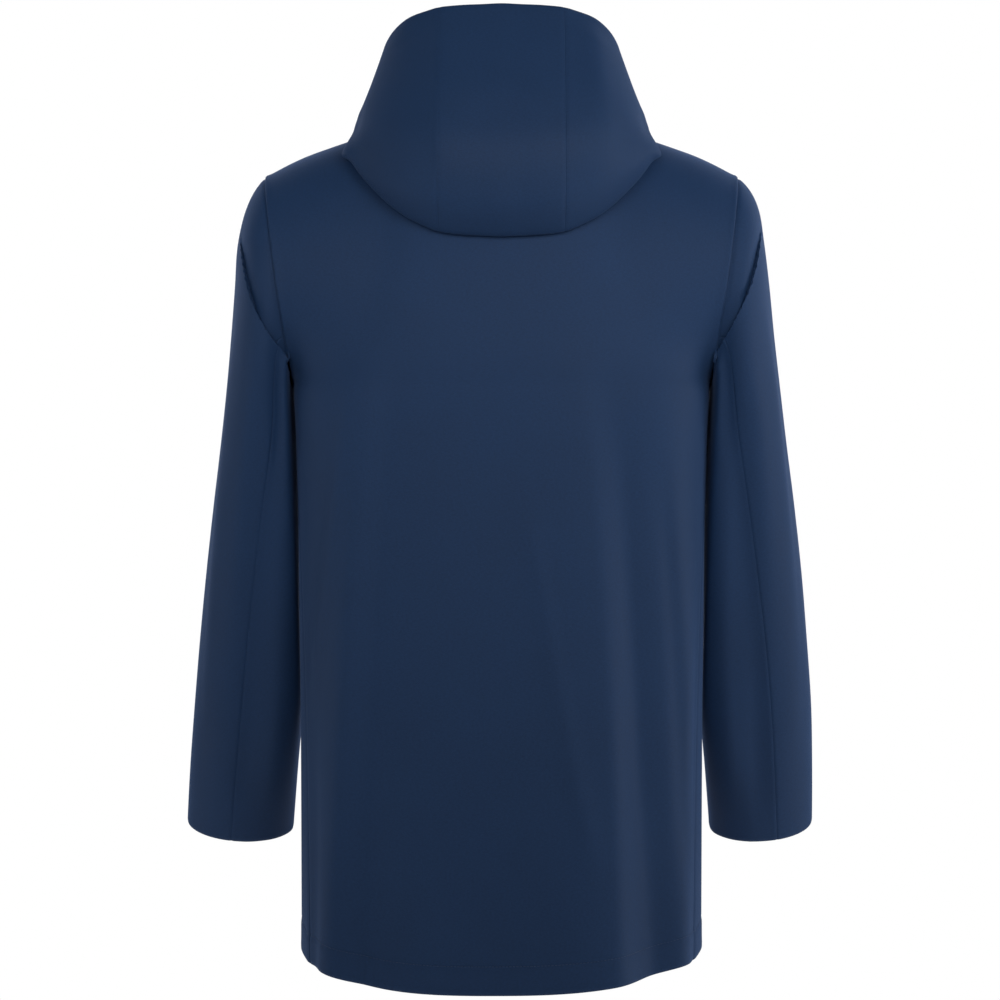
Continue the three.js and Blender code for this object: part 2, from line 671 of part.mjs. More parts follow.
const parka = new THREE.Group();
const normalAt = sharedNormals(grids);
const panels = {};
Object.entries(grids).forEach(([name, grid]) => {
  panels[name] = panel(grid, normalAt);
  const material = name.startsWith('hood') ? hoodShell : shell;
  parka.add(mesh(name, wallGeometry(panels[name], CLOTH), material));
});

const tape = tapePanel(panels.front_left, panels.hood_left);
const tapeDepth = CLOTH + SEAM_GAP;
parka.add(mesh('zip_tape_left', wallGeometry(tape, TAPE, tapeDepth), webbing));
parka.add(mesh('zip_tape_right', wallGeometry(mirroredPanel(tape), TAPE, tapeDepth), webbing));

const hoodEdge = panels.hood_left.points.map((row) => row[0]);
const [nextToRim, rim] = hoodEdge.slice(-2);
const slider = zipFrame(nextToRim, rim, SLIDER.belowRim);
slider.add(mesh('zip_slider', sliderGeometry(), metal));
const pull = new THREE.Group();
pull.position.set(0, PIVOT.up, PIVOT.out);
pull.rotation.x = Math.PI / 2 - slider.rotation.x; // it hangs straight down
pull.add(mesh('zip_pull', pullGeometry(), metal));
slider.add(pull);
parka.add(slider);

const [hem, aboveHem] = panels.front_left.points.slice(0, 2).map((row) => row[0]);
const boxBelow = hem.distanceTo(aboveHem) - BOX.above - BOX.length / 2;
const box = zipFrame(hem, aboveHem, boxBelow);
box.add(mesh('zip_box', boxGeometry(), metal));
parka.add(box);

export default parka;
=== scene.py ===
import math

import bmesh
import bpy
import numpy as np
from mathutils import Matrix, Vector


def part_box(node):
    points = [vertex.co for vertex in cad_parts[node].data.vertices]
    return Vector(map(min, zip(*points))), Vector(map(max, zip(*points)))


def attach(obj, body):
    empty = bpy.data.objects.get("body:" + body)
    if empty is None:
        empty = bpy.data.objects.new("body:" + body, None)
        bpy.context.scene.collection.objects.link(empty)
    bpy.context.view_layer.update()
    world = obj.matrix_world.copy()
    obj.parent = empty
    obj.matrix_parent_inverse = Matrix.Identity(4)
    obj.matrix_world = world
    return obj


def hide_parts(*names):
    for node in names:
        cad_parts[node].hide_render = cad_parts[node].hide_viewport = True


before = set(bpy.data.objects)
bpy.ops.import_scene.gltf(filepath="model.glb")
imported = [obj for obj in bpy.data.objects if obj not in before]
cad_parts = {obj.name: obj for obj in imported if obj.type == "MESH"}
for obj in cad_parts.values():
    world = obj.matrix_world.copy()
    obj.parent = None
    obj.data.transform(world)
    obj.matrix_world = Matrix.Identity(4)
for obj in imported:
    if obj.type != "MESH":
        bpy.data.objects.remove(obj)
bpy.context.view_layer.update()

bl_info = {
    "name": "Hooded parka",
    "version": (1, 0, 0),
    "blender": (4, 5, 0),
    "location": "View3D > Sidebar > Parka",
    "description": "Builds a hooded parka's cloth, zip and studio around its CAD frame",
    "category": "Add Mesh",
}

COAT = "coat"
MM = 0.001
WALL_TOLERANCE = 0.02 * MM


# ---- Cloth grids ----


def outer_grid(node, wall):
    """The outer face of a cloth node: rows run up the garment and columns anticlockwise seen from above."""
    solid = bmesh.new()
    solid.from_mesh(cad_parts[node].data)
    bmesh.ops.remove_doubles(solid, verts=solid.verts, dist=1e-6)
    rim = [f for f in solid.faces if any(abs(e.calc_length() - wall) < WALL_TOLERANCE for e in f.edges)]
    bmesh.ops.delete(solid, geom=rim, context="FACES")
    skins, met = [], set()
    for vert in solid.verts:
        if vert in met:
            continue
        skin = [vert]
        met.add(vert)
        for v in skin:
            for edge in v.link_edges:
                other = edge.other_vert(v)
                if other not in met:
                    met.add(other)
                    skin.append(other)
        skins.append(skin)
    skin = max(skins, key=lambda s: np.ptp(np.array([v.co for v in s]), axis=0).sum())
    corners = [v for v in skin if len(v.link_edges) == 3]
    if len(corners) != 2:
        raise RuntimeError(f"{node} isn't a plain grid")
    start = min(corners, key=lambda v: v.co.z)

    def along_rim(v, seen):
        for edge in v.link_edges:
            other = edge.other_vert(v)
            if edge.is_boundary and other not in seen:
                return other
        return None

    first = next(loop for loop in start.link_loops if loop.edge.is_boundary)
    row = [start, first.link_loop_next.vert]
    while len(row[-1].link_edges) != 2:
        row.append(along_rim(row[-1], set(row)))
    rows, seen = [row], set(row)
    while True:
        side = along_rim(row[0], seen)
        if side is None:
            break
        above = [side]
        for v in row[1:]:
            near = {e.other_vert(above[-1]) for e in above[-1].link_edges}
            above.append(next(w for w in (e.other_vert(v) for e in v.link_edges) if w in near and w not in seen))
        rows.append(above)
        seen.update(above)
        row = above
    grid = np.array([[v.co[:] for v in r] for r in rows])
    solid.free()
    return grid


def steps_of(points, cell, fine_start=False, fine_end=False):
    """Where to read between each row of points and the next, as shares, finer beside a sewn edge."""
    gaps = np.linalg.norm(np.diff(points, axis=0), axis=2).mean(axis=1)
    steps = [np.linspace(0, 1, max(1, round(gap / cell)), endpoint=False) for gap in gaps]
    near = np.array([0, 0.6, 1.3, 2.2, 3.4]) * MM
    if fine_start:
        steps[0] = edge_steps(near, gaps[0], cell)
    if fine_end:
        steps[-1] = np.concatenate([[0], np.sort(1 - edge_steps(near, gaps[-1], cell)[1:])])
    return steps


def edge_steps(near, gap, cell):
    near = near[near < 0.8 * gap] / gap
    rest = max(1, round((1 - near[-1]) * gap / cell))
    return np.concatenate([near, np.linspace(near[-1], 1, rest, endpoint=False)[1:]])


def through(points, steps, corner=None, sharp=None):
    """Smooth curves through rows of points. At the corner row each may turn, as sharply as sharp says."""
    gap = np.linalg.norm(np.diff(points, axis=0), axis=2)[..., None]
    slope = np.diff(points, axis=0) / gap
    tangent = np.empty_like(points)
    tangent[1:-1] = (slope[:-1] * gap[1:] + slope[1:] * gap[:-1]) / (gap[:-1] + gap[1:])
    tangent[0] = 2 * slope[0] - tangent[1]
    tangent[-1] = 2 * slope[-1] - tangent[-2]
    before, after = tangent.copy(), tangent.copy()
    if corner is not None:
        weight = np.asarray(sharp)[:, None]
        before[corner] += weight * (2 * slope[corner - 1] - tangent[corner - 1] - before[corner])
        after[corner] += weight * (2 * slope[corner] - tangent[corner + 1] - after[corner])
    rows = []
    for k, shares in enumerate(steps):
        t = np.asarray(shares)[:, None, None]
        rows.append(
            (2 * t**3 - 3 * t**2 + 1) * points[k]
            + (t**3 - 2 * t**2 + t) * gap[k] * after[k]
            + (3 * t**2 - 2 * t**3) * points[k + 1]
            + (t**3 - t**2) * gap[k] * before[k + 1]
        )
    return np.concatenate([*rows, points[-1:]])


def normals_of(grid):
    normal = np.cross(np.gradient(grid, axis=1), np.gradient(grid, axis=0))
    return normal / np.maximum(np.linalg.norm(normal, axis=2, keepdims=True), 1e-12)


def relaxed(grid, rounds, sides):
    """The same surface with its ripples eased out, its edges kept, or its side edges eased as the rest is."""
    grid = grid.copy()
    for _ in range(rounds):
        if sides:
            for edge in (grid[:, 0], grid[:, -1]):
                edge[1:-1] += 0.25 * ((edge[:-2] + edge[2:]) / 2 - edge[1:-1])
        near = grid[:-2, 1:-1] + grid[2:, 1:-1] + grid[1:-1, :-2] + grid[1:-1, 2:]
        grid[1:-1, 1:-1] += 0.5 * (near / 4 - grid[1:-1, 1:-1])
    return grid


def run_along(grid, axis):
    """How far each point is along its row or column, in metres."""
    gaps = np.linalg.norm(np.diff(grid, axis=axis), axis=2)
    pad = [(0, 0), (0, 0)]
    pad[axis] = (1, 0)
    return np.pad(np.cumsum(gaps, axis=axis), pad)


def smooth_step(value, low, high):
    t = np.clip((value - low) / (high - low), 0, 1)
    return t * t * (3 - 2 * t)


def bell(away, width):
    """Full at no distance, fading out over about a width either way."""
    return np.exp(-((away / width) ** 2))


class Panel:
    """A cloth panel on its way from the node's grid to a finished sheet."""

    def __init__(self, node, cell, wall, sewn="", row_corner=None, column_corner=None, ease=12, rows_like=None):
        coarse = outer_grid(node, wall)
        self.node, self.wall = node, wall
        self.steady = None  # normals from before any seam was drawn in
        self.above = None  # which side of a cut crease each point is on
        rows, cols = coarse.shape[:2]
        sharp = np.zeros(cols)
        if row_corner is not None:
            for k in row_corner[1]:
                sharp[k] = 1
                sharp[k + (1 if k == 0 else -1)] = 0.3
        guide = outer_grid(rows_like, wall) if rows_like else coarse
        up = steps_of(guide, cell, "bottom" in sewn, "top" in sewn)
        tall = through(coarse, up, None if row_corner is None else row_corner[0], sharp)
        flat = tall.transpose(1, 0, 2)
        across = steps_of(coarse.transpose(1, 0, 2), cell, "start" in sewn, "end" in sewn)
        height = np.linspace(0, 1, flat.shape[1])
        if column_corner is None:
            wide = through(flat, across)
        else:
            wide = self.turned(flat, across, column_corner, height)
        self.grid = relaxed(wide.transpose(1, 0, 2), ease, rows_like is not None)
        self.measure()

    @staticmethod
    def turned(flat, across, corners, height):
        """Curves across the panel that turn sharply at its top edge, at each of the corner columns."""
        sharp = smooth_step(height, 0.965, 1)
        cuts = [0, *corners, len(flat) - 1]
        whole = through(flat, across)
        parts = []
        for low, high in zip(cuts, cuts[1:]):
            part = through(flat[low : high + 1], across[low:high])
            parts.append(part if high == cuts[-1] else part[:-1])
        return whole + (np.concatenate(parts) - whole) * sharp[None, :, None]

    def measure(self):
        self.normal = normals_of(self.grid)
        self.u = run_along(self.grid, 1)
        self.v = run_along(self.grid, 0)

    def push(self, amount, along=None):
        """Moves each point out of the cloth by an amount, or along a given direction."""
        self.grid = self.grid + np.asarray(amount)[..., None] * (self.normal if along is None else along)

    @property
    def x(self):
        return self.grid[..., 0]

    @property
    def y(self):
        return self.grid[..., 1]

    @property
    def z(self):
        return self.grid[..., 2]

    def from_edge(self, edge):
        if edge == "start":
            return self.u
        if edge == "end":
            return self.u[:, -1:] - self.u
        if edge == "bottom":
            return self.v
        return self.v[-1:] - self.v


def sew(panel, edges, dip, width, share=1.0):
    """Draws the cloth in along its sewn edges."""
    for edge in edges.split():
        panel.push(-dip * share * bell(panel.from_edge(edge), width))
    panel.measure()


def round_point(panel, centre, reach):
    """Full at a point, fading out over about a reach in x, y and z."""
    away = (panel.grid - np.array(centre)) / np.array(reach)
    return np.exp(-(away**2).sum(axis=2))


def nudge(panel, centre, reach, move):
    """Moves the cloth round a point by a vector, less and less with distance."""
    panel.grid = panel.grid + round_point(panel, centre, reach)[..., None] * np.array(move)


def dent(panel, centre, reach, depth):
    """A soft hollow, or with a negative depth a swelling, round a point."""
    return -depth * round_point(panel, centre, reach)


def long_fold(panel, stops, depth, width, ends, side=1):
    """A soft ridge, or with a negative depth a trough, down the panel through stops of (x, z), x on one side.

    Depth and width are in millimetres, at the top and at the bottom stop; ends are how far it fades beyond them.
    """
    x, z = np.array(stops).T
    x, depth, width = side * x, np.array(depth) * MM, np.array(width) * MM
    line = np.polyval(np.polyfit(z, x, min(2, len(x) - 1)), panel.z)
    away = panel.x - line
    stretch = np.abs(np.gradient(panel.x, axis=1)) / np.maximum(np.gradient(panel.u, axis=1), 1e-9)
    away = away / np.clip(stretch, 0.25, 1)
    share = (z.max() - panel.z) / (z.max() - z.min())
    wide = width[0] + (width[1] - width[0]) * np.clip(share, 0, 1)
    deep = depth[0] + (depth[1] - depth[0]) * np.clip(share, 0, 1)
    fade = smooth_step(panel.z, z.min() - ends[1], z.min() + ends[1] * 0.2)
    fade = fade * (1 - smooth_step(panel.z, z.max() - ends[0] * 0.2, z.max() + ends[0]))
    return deep * bell(away, wide) * fade


def fill_side(panel, amount):
    """Lets the body's sides out a little beside the sleeves, where they touch."""
    height = smooth_step(panel.z, -0.62, -0.44) * (1 - smooth_step(panel.z, -0.285, -0.215))
    outward = smooth_step(np.abs(panel.normal[..., 0]), 0.25, 0.9)
    panel.push(amount * height * outward, np.stack([np.sign(panel.x), 0 * panel.x, 0 * panel.x], axis=-1))


def square_off(panel, inward, amount, low, high, lean):
    """Fills out a tube's shoulders on its inward side, so that it turns later and more sharply."""
    side = np.clip(inward * panel.normal[..., 0], 0, 1)
    level = panel.normal[..., 1]
    share = np.clip(2 * side * np.abs(level), 0, 1)
    height = smooth_step(panel.z, low[0], low[1]) * (1 - smooth_step(panel.z, high[0], high[1]))
    share = share * smooth_step(np.minimum(panel.from_edge("start"), panel.from_edge("end")), 2 * MM, 30 * MM)
    panel.push(amount * share * height, np.stack([lean * inward + 0 * side, np.sign(level), 0 * side], axis=-1))


def press_side(panel, side, power):
    """Squares a sleeve's quarter between its innermost line and its back seam, up to the body's side."""
    out, y, z = side * panel.x, panel.y, panel.z
    rows = np.arange(len(out))
    inner = out.argmin(axis=1)
    level = z.mean(axis=1)
    in_x = np.polyval(np.polyfit(level, out[rows, inner], 5), level)[:, None]
    in_y = np.polyval(np.polyfit(level, y[rows, inner], 3), level)[:, None]
    edge = 0 if y[:, 0].mean() > y[:, -1].mean() else -1
    seam_x, seam_y = out[:, edge][:, None], y[:, edge][:, None]
    column = np.arange(out.shape[1])[None]
    quarter = column < inner[:, None] if edge == 0 else column > inner[:, None]
    c = 1 - np.clip((out - in_x) / (seam_x - in_x), 0, 1)
    s = np.clip((y - in_y) / (seam_y - in_y), 0, 1)
    height = smooth_step(z, -0.74, -0.52) * (1 - smooth_step(z, -0.278, -0.222))
    n = 2 + (power - 2) * height
    grow = np.hypot(c, s) / np.maximum(c**n + s**n, 1e-9) ** (1 / n)
    body = outer_grid("front_left", panel.wall)
    body_z, body_x = body[..., 2].mean(axis=1), body[..., 0].max(axis=1)
    limit = np.interp(z, body_z, body_x) + 2.9 * MM
    new_x = np.maximum(seam_x - grow * c * (seam_x - in_x), np.minimum(out, limit))
    new_y = in_y + grow * s * (seam_y - in_y)
    moved = panel.grid.copy()
    moved[..., 0] = side * np.where(quarter, new_x, out)
    moved[..., 1] = np.where(quarter, new_y, y)
    panel.grid = relaxed(moved, 6, False)
    panel.measure()


def drape(panel, lines, top, bottom):
    """Long leaning pleats: each line of (x, z) stops keeps its height, and the cloth runs smoothly between."""
    share = np.clip((top - panel.z) / (top - bottom), 0, 1)
    knots = []
    for stops, (high, low) in lines:
        x, z = np.array(stops).T
        knots.append((np.polyval(np.polyfit(z, x, min(2, len(x) - 1)), panel.z), (high + (low - high) * share) * MM))
    amount = np.zeros_like(panel.x)
    for (x0, h0), (x1, h1) in zip(knots, knots[1:]):
        t = (x0 - panel.x) / (x0 - x1)
        amount = np.where((t >= 0) & (t < 1), h0 + (h1 - h0) * smooth_step(t, 0, 1), amount)
    return amount * smooth_step(share, 0, 0.2)


def turn_up(panel, edge, height, thickness):
    """A hem: the cloth is double up to its stitching, which draws it in."""
    away = panel.from_edge(edge)
    panel.push(thickness * (1 - smooth_step(away, height - 4 * MM, height + 1 * MM)))
    panel.push(-0.9 * thickness * bell(away - height, 1.6 * MM))
    panel.push(-0.6 * thickness * bell(away, 1.5 * MM))
    panel.measure()


def raise_hem(panel, share):
    """The curve of the hem: it rises to the side seams, more on the wearer's right."""
    x, rise = np.array(HEM_RISE).T
    curve = np.polyval(np.polyfit(x, rise, 6), np.clip(panel.x, x[0], x[-1])) * MM
    curve -= 2 * MM * bell(np.abs(panel.x) - SEAM_CORNER, 0.006)  # the seams' own corners hang lower
    panel.push(share * curve * (1 - smooth_step(panel.v, 0, HEM_REACH)), UP)


def line_at(panel, edge, distance):
    """Points of the cloth, and its normals there, along a line at a distance from one edge."""
    away, grid, normal = panel.from_edge(edge), panel.grid, panel.normal
    if edge in ("start", "end"):
        away, grid, normal = away.T, grid.transpose(1, 0, 2), normal.transpose(1, 0, 2)
    if edge in ("end", "top"):
        away, grid, normal = away[::-1], grid[::-1], normal[::-1]
    columns = range(away.shape[1])
    at = [[np.interp(distance, away[:, k], grid[:, k, c]) for c in range(3)] for k in columns]
    up = [[np.interp(distance, away[:, k], normal[:, k, c]) for c in range(3)] for k in columns]
    return np.array(at), np.array(up)


def evenly(points, normals, pitch, start=0.0):
    """Places a pitch apart along a line, with the way ahead and the way out of the cloth at each."""
    run = np.concatenate([[0], np.cumsum(np.linalg.norm(np.diff(points, axis=0), axis=1))])
    at = np.arange(start + pitch / 2, run[-1] - pitch / 2, pitch)

    def read(rows, where):
        return np.stack([np.interp(where, run, rows[:, c]) for c in range(3)], axis=-1)

    ahead = read(points, at + pitch / 4) - read(points, at - pitch / 4)
    ahead /= np.linalg.norm(ahead, axis=1, keepdims=True)
    outward = read(normals, at)
    outward -= (outward * ahead).sum(axis=1, keepdims=True) * ahead
    outward /= np.linalg.norm(outward, axis=1, keepdims=True)
    return read(points, at), ahead, outward


def repeated(unit, places, ahead, outward, name, material):
    """One piece with a copy of the unit at every place, its x ahead and its z outward. The unit is used up."""
    points = np.array([v.co[:] for v in unit.data.vertices])
    faces = [list(f.vertices) for f in unit.data.polygons]
    turn = np.stack([ahead, np.cross(outward, ahead), outward], axis=-1)
    copies = places[:, None, :] + np.einsum("kij,nj->kni", turn, points)
    mesh = bpy.data.meshes.new(name)
    faces = [[v + k * len(points) for v in face] for k in range(len(places)) for face in faces]
    mesh.from_pydata(copies.reshape(-1, 3).tolist(), [], faces)
    mesh.update()
    used = unit.data
    bpy.data.objects.remove(unit)
    bpy.data.meshes.remove(used)
    piece = finish_piece(mesh, name, material)
    mesh.set_sharp_from_angle(angle=math.radians(50))
    return piece


def cloth_piece(panel, name, material):
    """The finished sheet: the outer face, the inner face a wall's thickness behind, and a rounded edge."""
    outer = panel.grid
    normal = normals_of(outer)
    inner = outer - panel.wall * (normal if panel.steady is None else panel.steady)
    rows, cols = outer.shape[:2]
    index = np.arange(rows * cols).reshape(rows, cols)
    loop = np.concatenate([index[0, :-1], index[:-1, -1], index[-1, :0:-1], index[:0:-1, 0]])
    points, backs = outer.reshape(-1, 3), inner.reshape(-1, 3)
    middle = (points[loop] + backs[loop]) / 2
    ahead = np.roll(middle, -1, axis=0) - np.roll(middle, 1, axis=0)
    outward = np.cross(ahead, normal.reshape(-1, 3)[loop])
    outward /= np.maximum(np.linalg.norm(outward, axis=1, keepdims=True), 1e-12)
    middle = middle + 0.3 * panel.wall * outward
    count = rows * cols
    a, b = index[:-1, :-1], index[:-1, 1:]
    c, d = index[1:, 1:], index[1:, :-1]
    front = np.stack([a, b, c, d], axis=-1)
    if panel.above is not None:  # a face that a crease crosses is split beside it, not across it
        above = panel.above
        turn = (above[:-1, :-1] != above[1:, 1:]) & (above[:-1, 1:] == above[1:, :-1])
        front = np.where(turn[..., None], np.roll(front, -1, axis=-1), front)
    front = front.reshape(-1, 4)
    back = front[:, [0, 3, 2, 1]] + count
    ring = np.arange(len(loop)) + 2 * count
    after, ring_after = np.roll(loop, -1), np.roll(ring, -1)
    rim = np.concatenate(
        [
            np.stack([after, loop, ring, ring_after], axis=-1),
            np.stack([ring_after, ring, loop + count, after + count], axis=-1),
        ]
    )
    faces = np.concatenate([front, back, rim])
    mesh = bpy.data.meshes.new(name)
    mesh.from_pydata(np.concatenate([points, backs, middle]).tolist(), [], faces.tolist())
    cut = np.stack([panel.u, panel.v], axis=-1).reshape(-1, 2)
    cut = np.concatenate([cut, cut, cut[loop]])
    layer = mesh.uv_layers.new(name="cut")
    corner = np.empty(len(mesh.loops), dtype=np.int32)
    mesh.loops.foreach_get("vertex_index", corner)
    layer.data.foreach_set("uv", cut[corner].astype(np.float32).ravel())
    mesh.update()
    mesh.validate()
    return finish_piece(mesh, name, material)


def finish_piece(mesh, name, material):
    """The piece of that mesh, smooth, riding with the coat."""
    piece = bpy.data.objects.new(name, mesh)
    bpy.context.scene.collection.objects.link(piece)
    mesh.materials.append(material)
    mesh.shade_smooth()
    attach(piece, COAT)
    return piece


# ---- Sizes and colours a user would change ----


def length(name, description, default):
    return bpy.props.FloatProperty(name=name, description=description, default=default, unit="LENGTH")


def colour(name, description, default):
    return bpy.props.FloatVectorProperty(name=name, description=description, default=default, subtype="COLOR")


class ParkaCloth(bpy.types.PropertyGroup):
    wall: length("Cloth thickness", "Thickness of a panel's wall", 1.6 * MM)
    cell: length("Body mesh", "Size of a mesh cell on the body", 3.7 * MM)
    fine_cell: length("Sleeve mesh", "Size of a mesh cell on sleeves and hood", 2.4 * MM)
    dip: length("Seam depth", "How far a seam draws the cloth in", 0.8 * MM)
    dip_width: length("Seam width", "How far from a seam the cloth is drawn in", 2.4 * MM)
    turn_up: length("Hem", "Height of the hem's turn-up", 28 * MM)
    stitch: length("Stitch", "From one stitch to the next", 3.4 * MM)


class ParkaZip(bpy.types.PropertyGroup):
    tape: length("Tape thickness", "Thickness of the zip tape", 0.8 * MM)
    pitch: length("Tooth pitch", "From one tooth to the next on a tape", 3.2 * MM)


class ParkaColours(bpy.types.PropertyGroup):
    shell: colour("Shell", "Colour of the body and sleeves", (0.0095, 0.0285, 0.0770))
    # The hood is cut from the shell's cloth. Its colour is the shell's navy made about 6% darker, as painted shade to
    # offset the stronger light the hood gets
    hood: colour("Hood", "Colour of the hood", (0.0088, 0.0268, 0.0725))
    webbing: colour("Zip tape", "Colour of the zip tape", (0.011, 0.018, 0.034))
    metal: colour("Zip metal", "Colour of the zip's lacquered metal", (0.03, 0.033, 0.04))


class ParkaStage(bpy.types.PropertyGroup):
    camera_back: length("Camera distance", "From the neck's middle to the camera", 2.78)
    camera_height: length("Camera height", "Of the camera above the neck", -0.38)
    lens: bpy.props.FloatProperty(
        name="Lens", description="Focal length on a 36 mm sensor", default=100.08, unit="CAMERA"
    )
    floor_height: length("Floor", "Height of the floor under the wearer's feet", -1.45)
    floor_radius: length("Floor radius", "Radius of the round floor", 2.9)


# ---- Finishes ----


def node_group(name, inputs, outputs):
    """A shader node group with its named sockets."""
    group = bpy.data.node_groups.new(name, "ShaderNodeTree")
    for label, default in inputs.items():
        socket = group.interface.new_socket(label, in_out="INPUT", socket_type="NodeSocketFloat")
        socket.default_value = default
    for label, kind in outputs.items():
        group.interface.new_socket(label, in_out="OUTPUT", socket_type=kind)
    return group


def add(tree, kind, place=(0, 0), **settings):
    node = tree.nodes.new(kind)
    node.location = (place[0] * 200, place[1] * 200)
    for key, value in settings.items():
        if key in node.inputs:
            node.inputs[key].default_value = value
        else:
            setattr(node, key, value)
    return node


def maths(tree, operation, first, second=0.0, place=(0, 0)):
    node = add(tree, "ShaderNodeMath", place, operation=operation)
    for socket, value in zip(node.inputs, (first, second)):
        if isinstance(value, (int, float)):
            socket.default_value = value
        else:
            tree.links.new(value, socket)
    return node.outputs[0]


def scaled(tree, value, gain, offset, place):
    """The value times a gain, plus an offset."""
    return maths(tree, "ADD", maths(tree, "MULTIPLY", value, gain, place), offset, (place[0] + 1, place[1]))


def centred(tree, value, gain, place):
    """A noise value about zero, times a gain."""
    return maths(tree, "MULTIPLY", maths(tree, "SUBTRACT", value, 0.5, place), gain, (place[0] + 1, place[1]))


def object_noise(tree, place, **settings):
    """Noise in the piece's own coordinates."""
    where = add(tree, "ShaderNodeTexCoord", (place[0] - 1, place[1]))
    noise = add(tree, "ShaderNodeTexNoise", place, **settings)
    tree.links.new(where.outputs["Object"], noise.inputs["Vector"])
    return noise.outputs[0]


def new_finish(name):
    """A new material, with its node tree and shader."""
    material = bpy.data.materials.new(name)
    material.use_nodes = True
    return material, material.node_tree, material.node_tree.nodes["Principled BSDF"]


def tinted(tree, shader, tone, strength):
    """The tone times a strength, as the shader's base colour."""
    tint = add(tree, "ShaderNodeVectorMath", (-2, 2), operation="SCALE")
    tint.inputs[0].default_value = tone
    tree.links.new(strength, tint.inputs["Scale"])
    tree.links.new(tint.outputs[0], shader.inputs["Base Color"])


def raised(tree, shader, height, strength, distance):
    """Bumps of a height on the shader."""
    bump = add(tree, "ShaderNodeBump", (-3, -2), Strength=strength, Distance=distance)
    tree.links.new(height, bump.inputs["Height"])
    tree.links.new(bump.outputs[0], shader.inputs["Normal"])


def weave_group():
    """Closely woven cloth: fine threads both ways with thicker slubs across, and slow uneven patches."""
    group = node_group(
        "close_weave",
        {"Threads per metre": 2200.0, "Slub": 1.0, "Patches": 1.0},
        {"Height": "NodeSocketFloat", "Tone": "NodeSocketFloat", "Roughness": "NodeSocketFloat"},
    )
    link = group.links.new
    start = add(group, "NodeGroupInput", (-6, 0))
    end = add(group, "NodeGroupOutput", (6, 0))
    cut = add(group, "ShaderNodeUVMap", (-6, -2), uv_map="cut")
    apart = add(group, "ShaderNodeSeparateXYZ", (-5, -2))
    link(cut.outputs[0], apart.inputs[0])
    turns = maths(group, "MULTIPLY", start.outputs[0], math.pi, (-5, 1))
    warp = maths(group, "SINE", maths(group, "MULTIPLY", apart.outputs[0], turns, (-4, 1)), 0, (-3, 1))
    weft = maths(group, "SINE", maths(group, "MULTIPLY", apart.outputs[1], turns, (-4, 0)), 0, (-3, 0))
    threads = maths(group, "MULTIPLY", warp, weft, (-2, 1))
    slub_map = add(group, "ShaderNodeMapping", (-4, -2), Scale=(260, 1500, 1))
    link(cut.outputs[0], slub_map.inputs[0])
    slub = add(group, "ShaderNodeTexNoise", (-3, -2), noise_dimensions="2D", Scale=1.0, Detail=3.0, Roughness=0.6)
    link(slub_map.outputs[0], slub.inputs["Vector"])
    slubs = centred(group, slub.outputs[0], start.outputs[1], (-2, -2))
    patch = object_noise(group, (-3, -4), Scale=9.0, Detail=4.0, Roughness=0.55)
    patches = centred(group, patch, start.outputs[2], (-2, -4))
    grain = add(group, "ShaderNodeTexNoise", (-3, -3), noise_dimensions="2D", Scale=420.0, Detail=3.0, Roughness=0.75)
    link(cut.outputs[0], grain.inputs["Vector"])
    slubs = maths(group, "ADD", slubs, maths(group, "SUBTRACT", grain.outputs[0], 0.5, (-2, -3)), (0, -3))
    link(maths(group, "ADD", maths(group, "MULTIPLY", threads, 0.35, (0, 1)), slubs, (1, 1)), end.inputs[0])
    for socket, slub_share, patch_share, row in ((1, 0.9, 0.5, -3), (2, 0.1, 0.12, -5)):
        fine = maths(group, "MULTIPLY", slubs, slub_share, (1, row))
        slow = maths(group, "MULTIPLY", patches, patch_share, (1, row - 1))
        link(maths(group, "ADD", fine, slow, (2, row)), end.inputs[socket])
    return group


def cloth_finish(name, tone, threads, slub, bump, roughness, sheen):
    """Woven cloth with a faint sheen of short fibres."""
    material, tree, shader = new_finish(name)
    weave = add(tree, "ShaderNodeGroup", (-5, 0))
    weave.node_tree = bpy.data.node_groups.get("close_weave") or weave_group()
    weave.inputs["Threads per metre"].default_value = threads
    weave.inputs["Slub"].default_value = slub
    tinted(tree, shader, tone[:3], scaled(tree, weave.outputs["Tone"], 0.5, 1.0, (-4, 2)))
    rough = maths(tree, "ADD", weave.outputs["Roughness"], roughness, (-3, 0))
    tree.links.new(rough, shader.inputs["Roughness"])
    raised(tree, shader, weave.outputs["Height"], bump, 0.2 * MM)
    shader.inputs["Specular IOR Level"].default_value = 0.14
    shader.inputs["Sheen Weight"].default_value = sheen
    shader.inputs["Sheen Roughness"].default_value = 0.45
    shader.inputs["Sheen Tint"].default_value = (0.34, 0.52, 1.0, 1.0)
    return material


def metal_finish(name, tone):
    """Dark lacquered metal, rubbed a little brighter in patches."""
    material, tree, shader = new_finish(name)
    rub = object_noise(tree, (-5, 0), Scale=420.0, Detail=4.0, Roughness=0.6)
    spread = add(tree, "ShaderNodeMapRange", (-4, 0))
    spread.inputs["From Min"].default_value = 0.45
    spread.inputs["From Max"].default_value = 0.75
    tree.links.new(rub, spread.inputs["Value"])
    blend = add(tree, "ShaderNodeMix", (-3, 1), data_type="RGBA")
    blend.inputs["A"].default_value = (*tone[:3], 1)
    blend.inputs["B"].default_value = (0.16, 0.165, 0.18, 1)
    tree.links.new(spread.outputs[0], blend.inputs["Factor"])
    tree.links.new(blend.outputs["Result"], shader.inputs["Base Color"])
    tree.links.new(scaled(tree, rub, 0.25, 0.25, (-3, -1)), shader.inputs["Roughness"])
    raised(tree, shader, rub, 0.25, 0.1 * MM)
    shader.inputs["Metallic"].default_value = 0.85
    return material


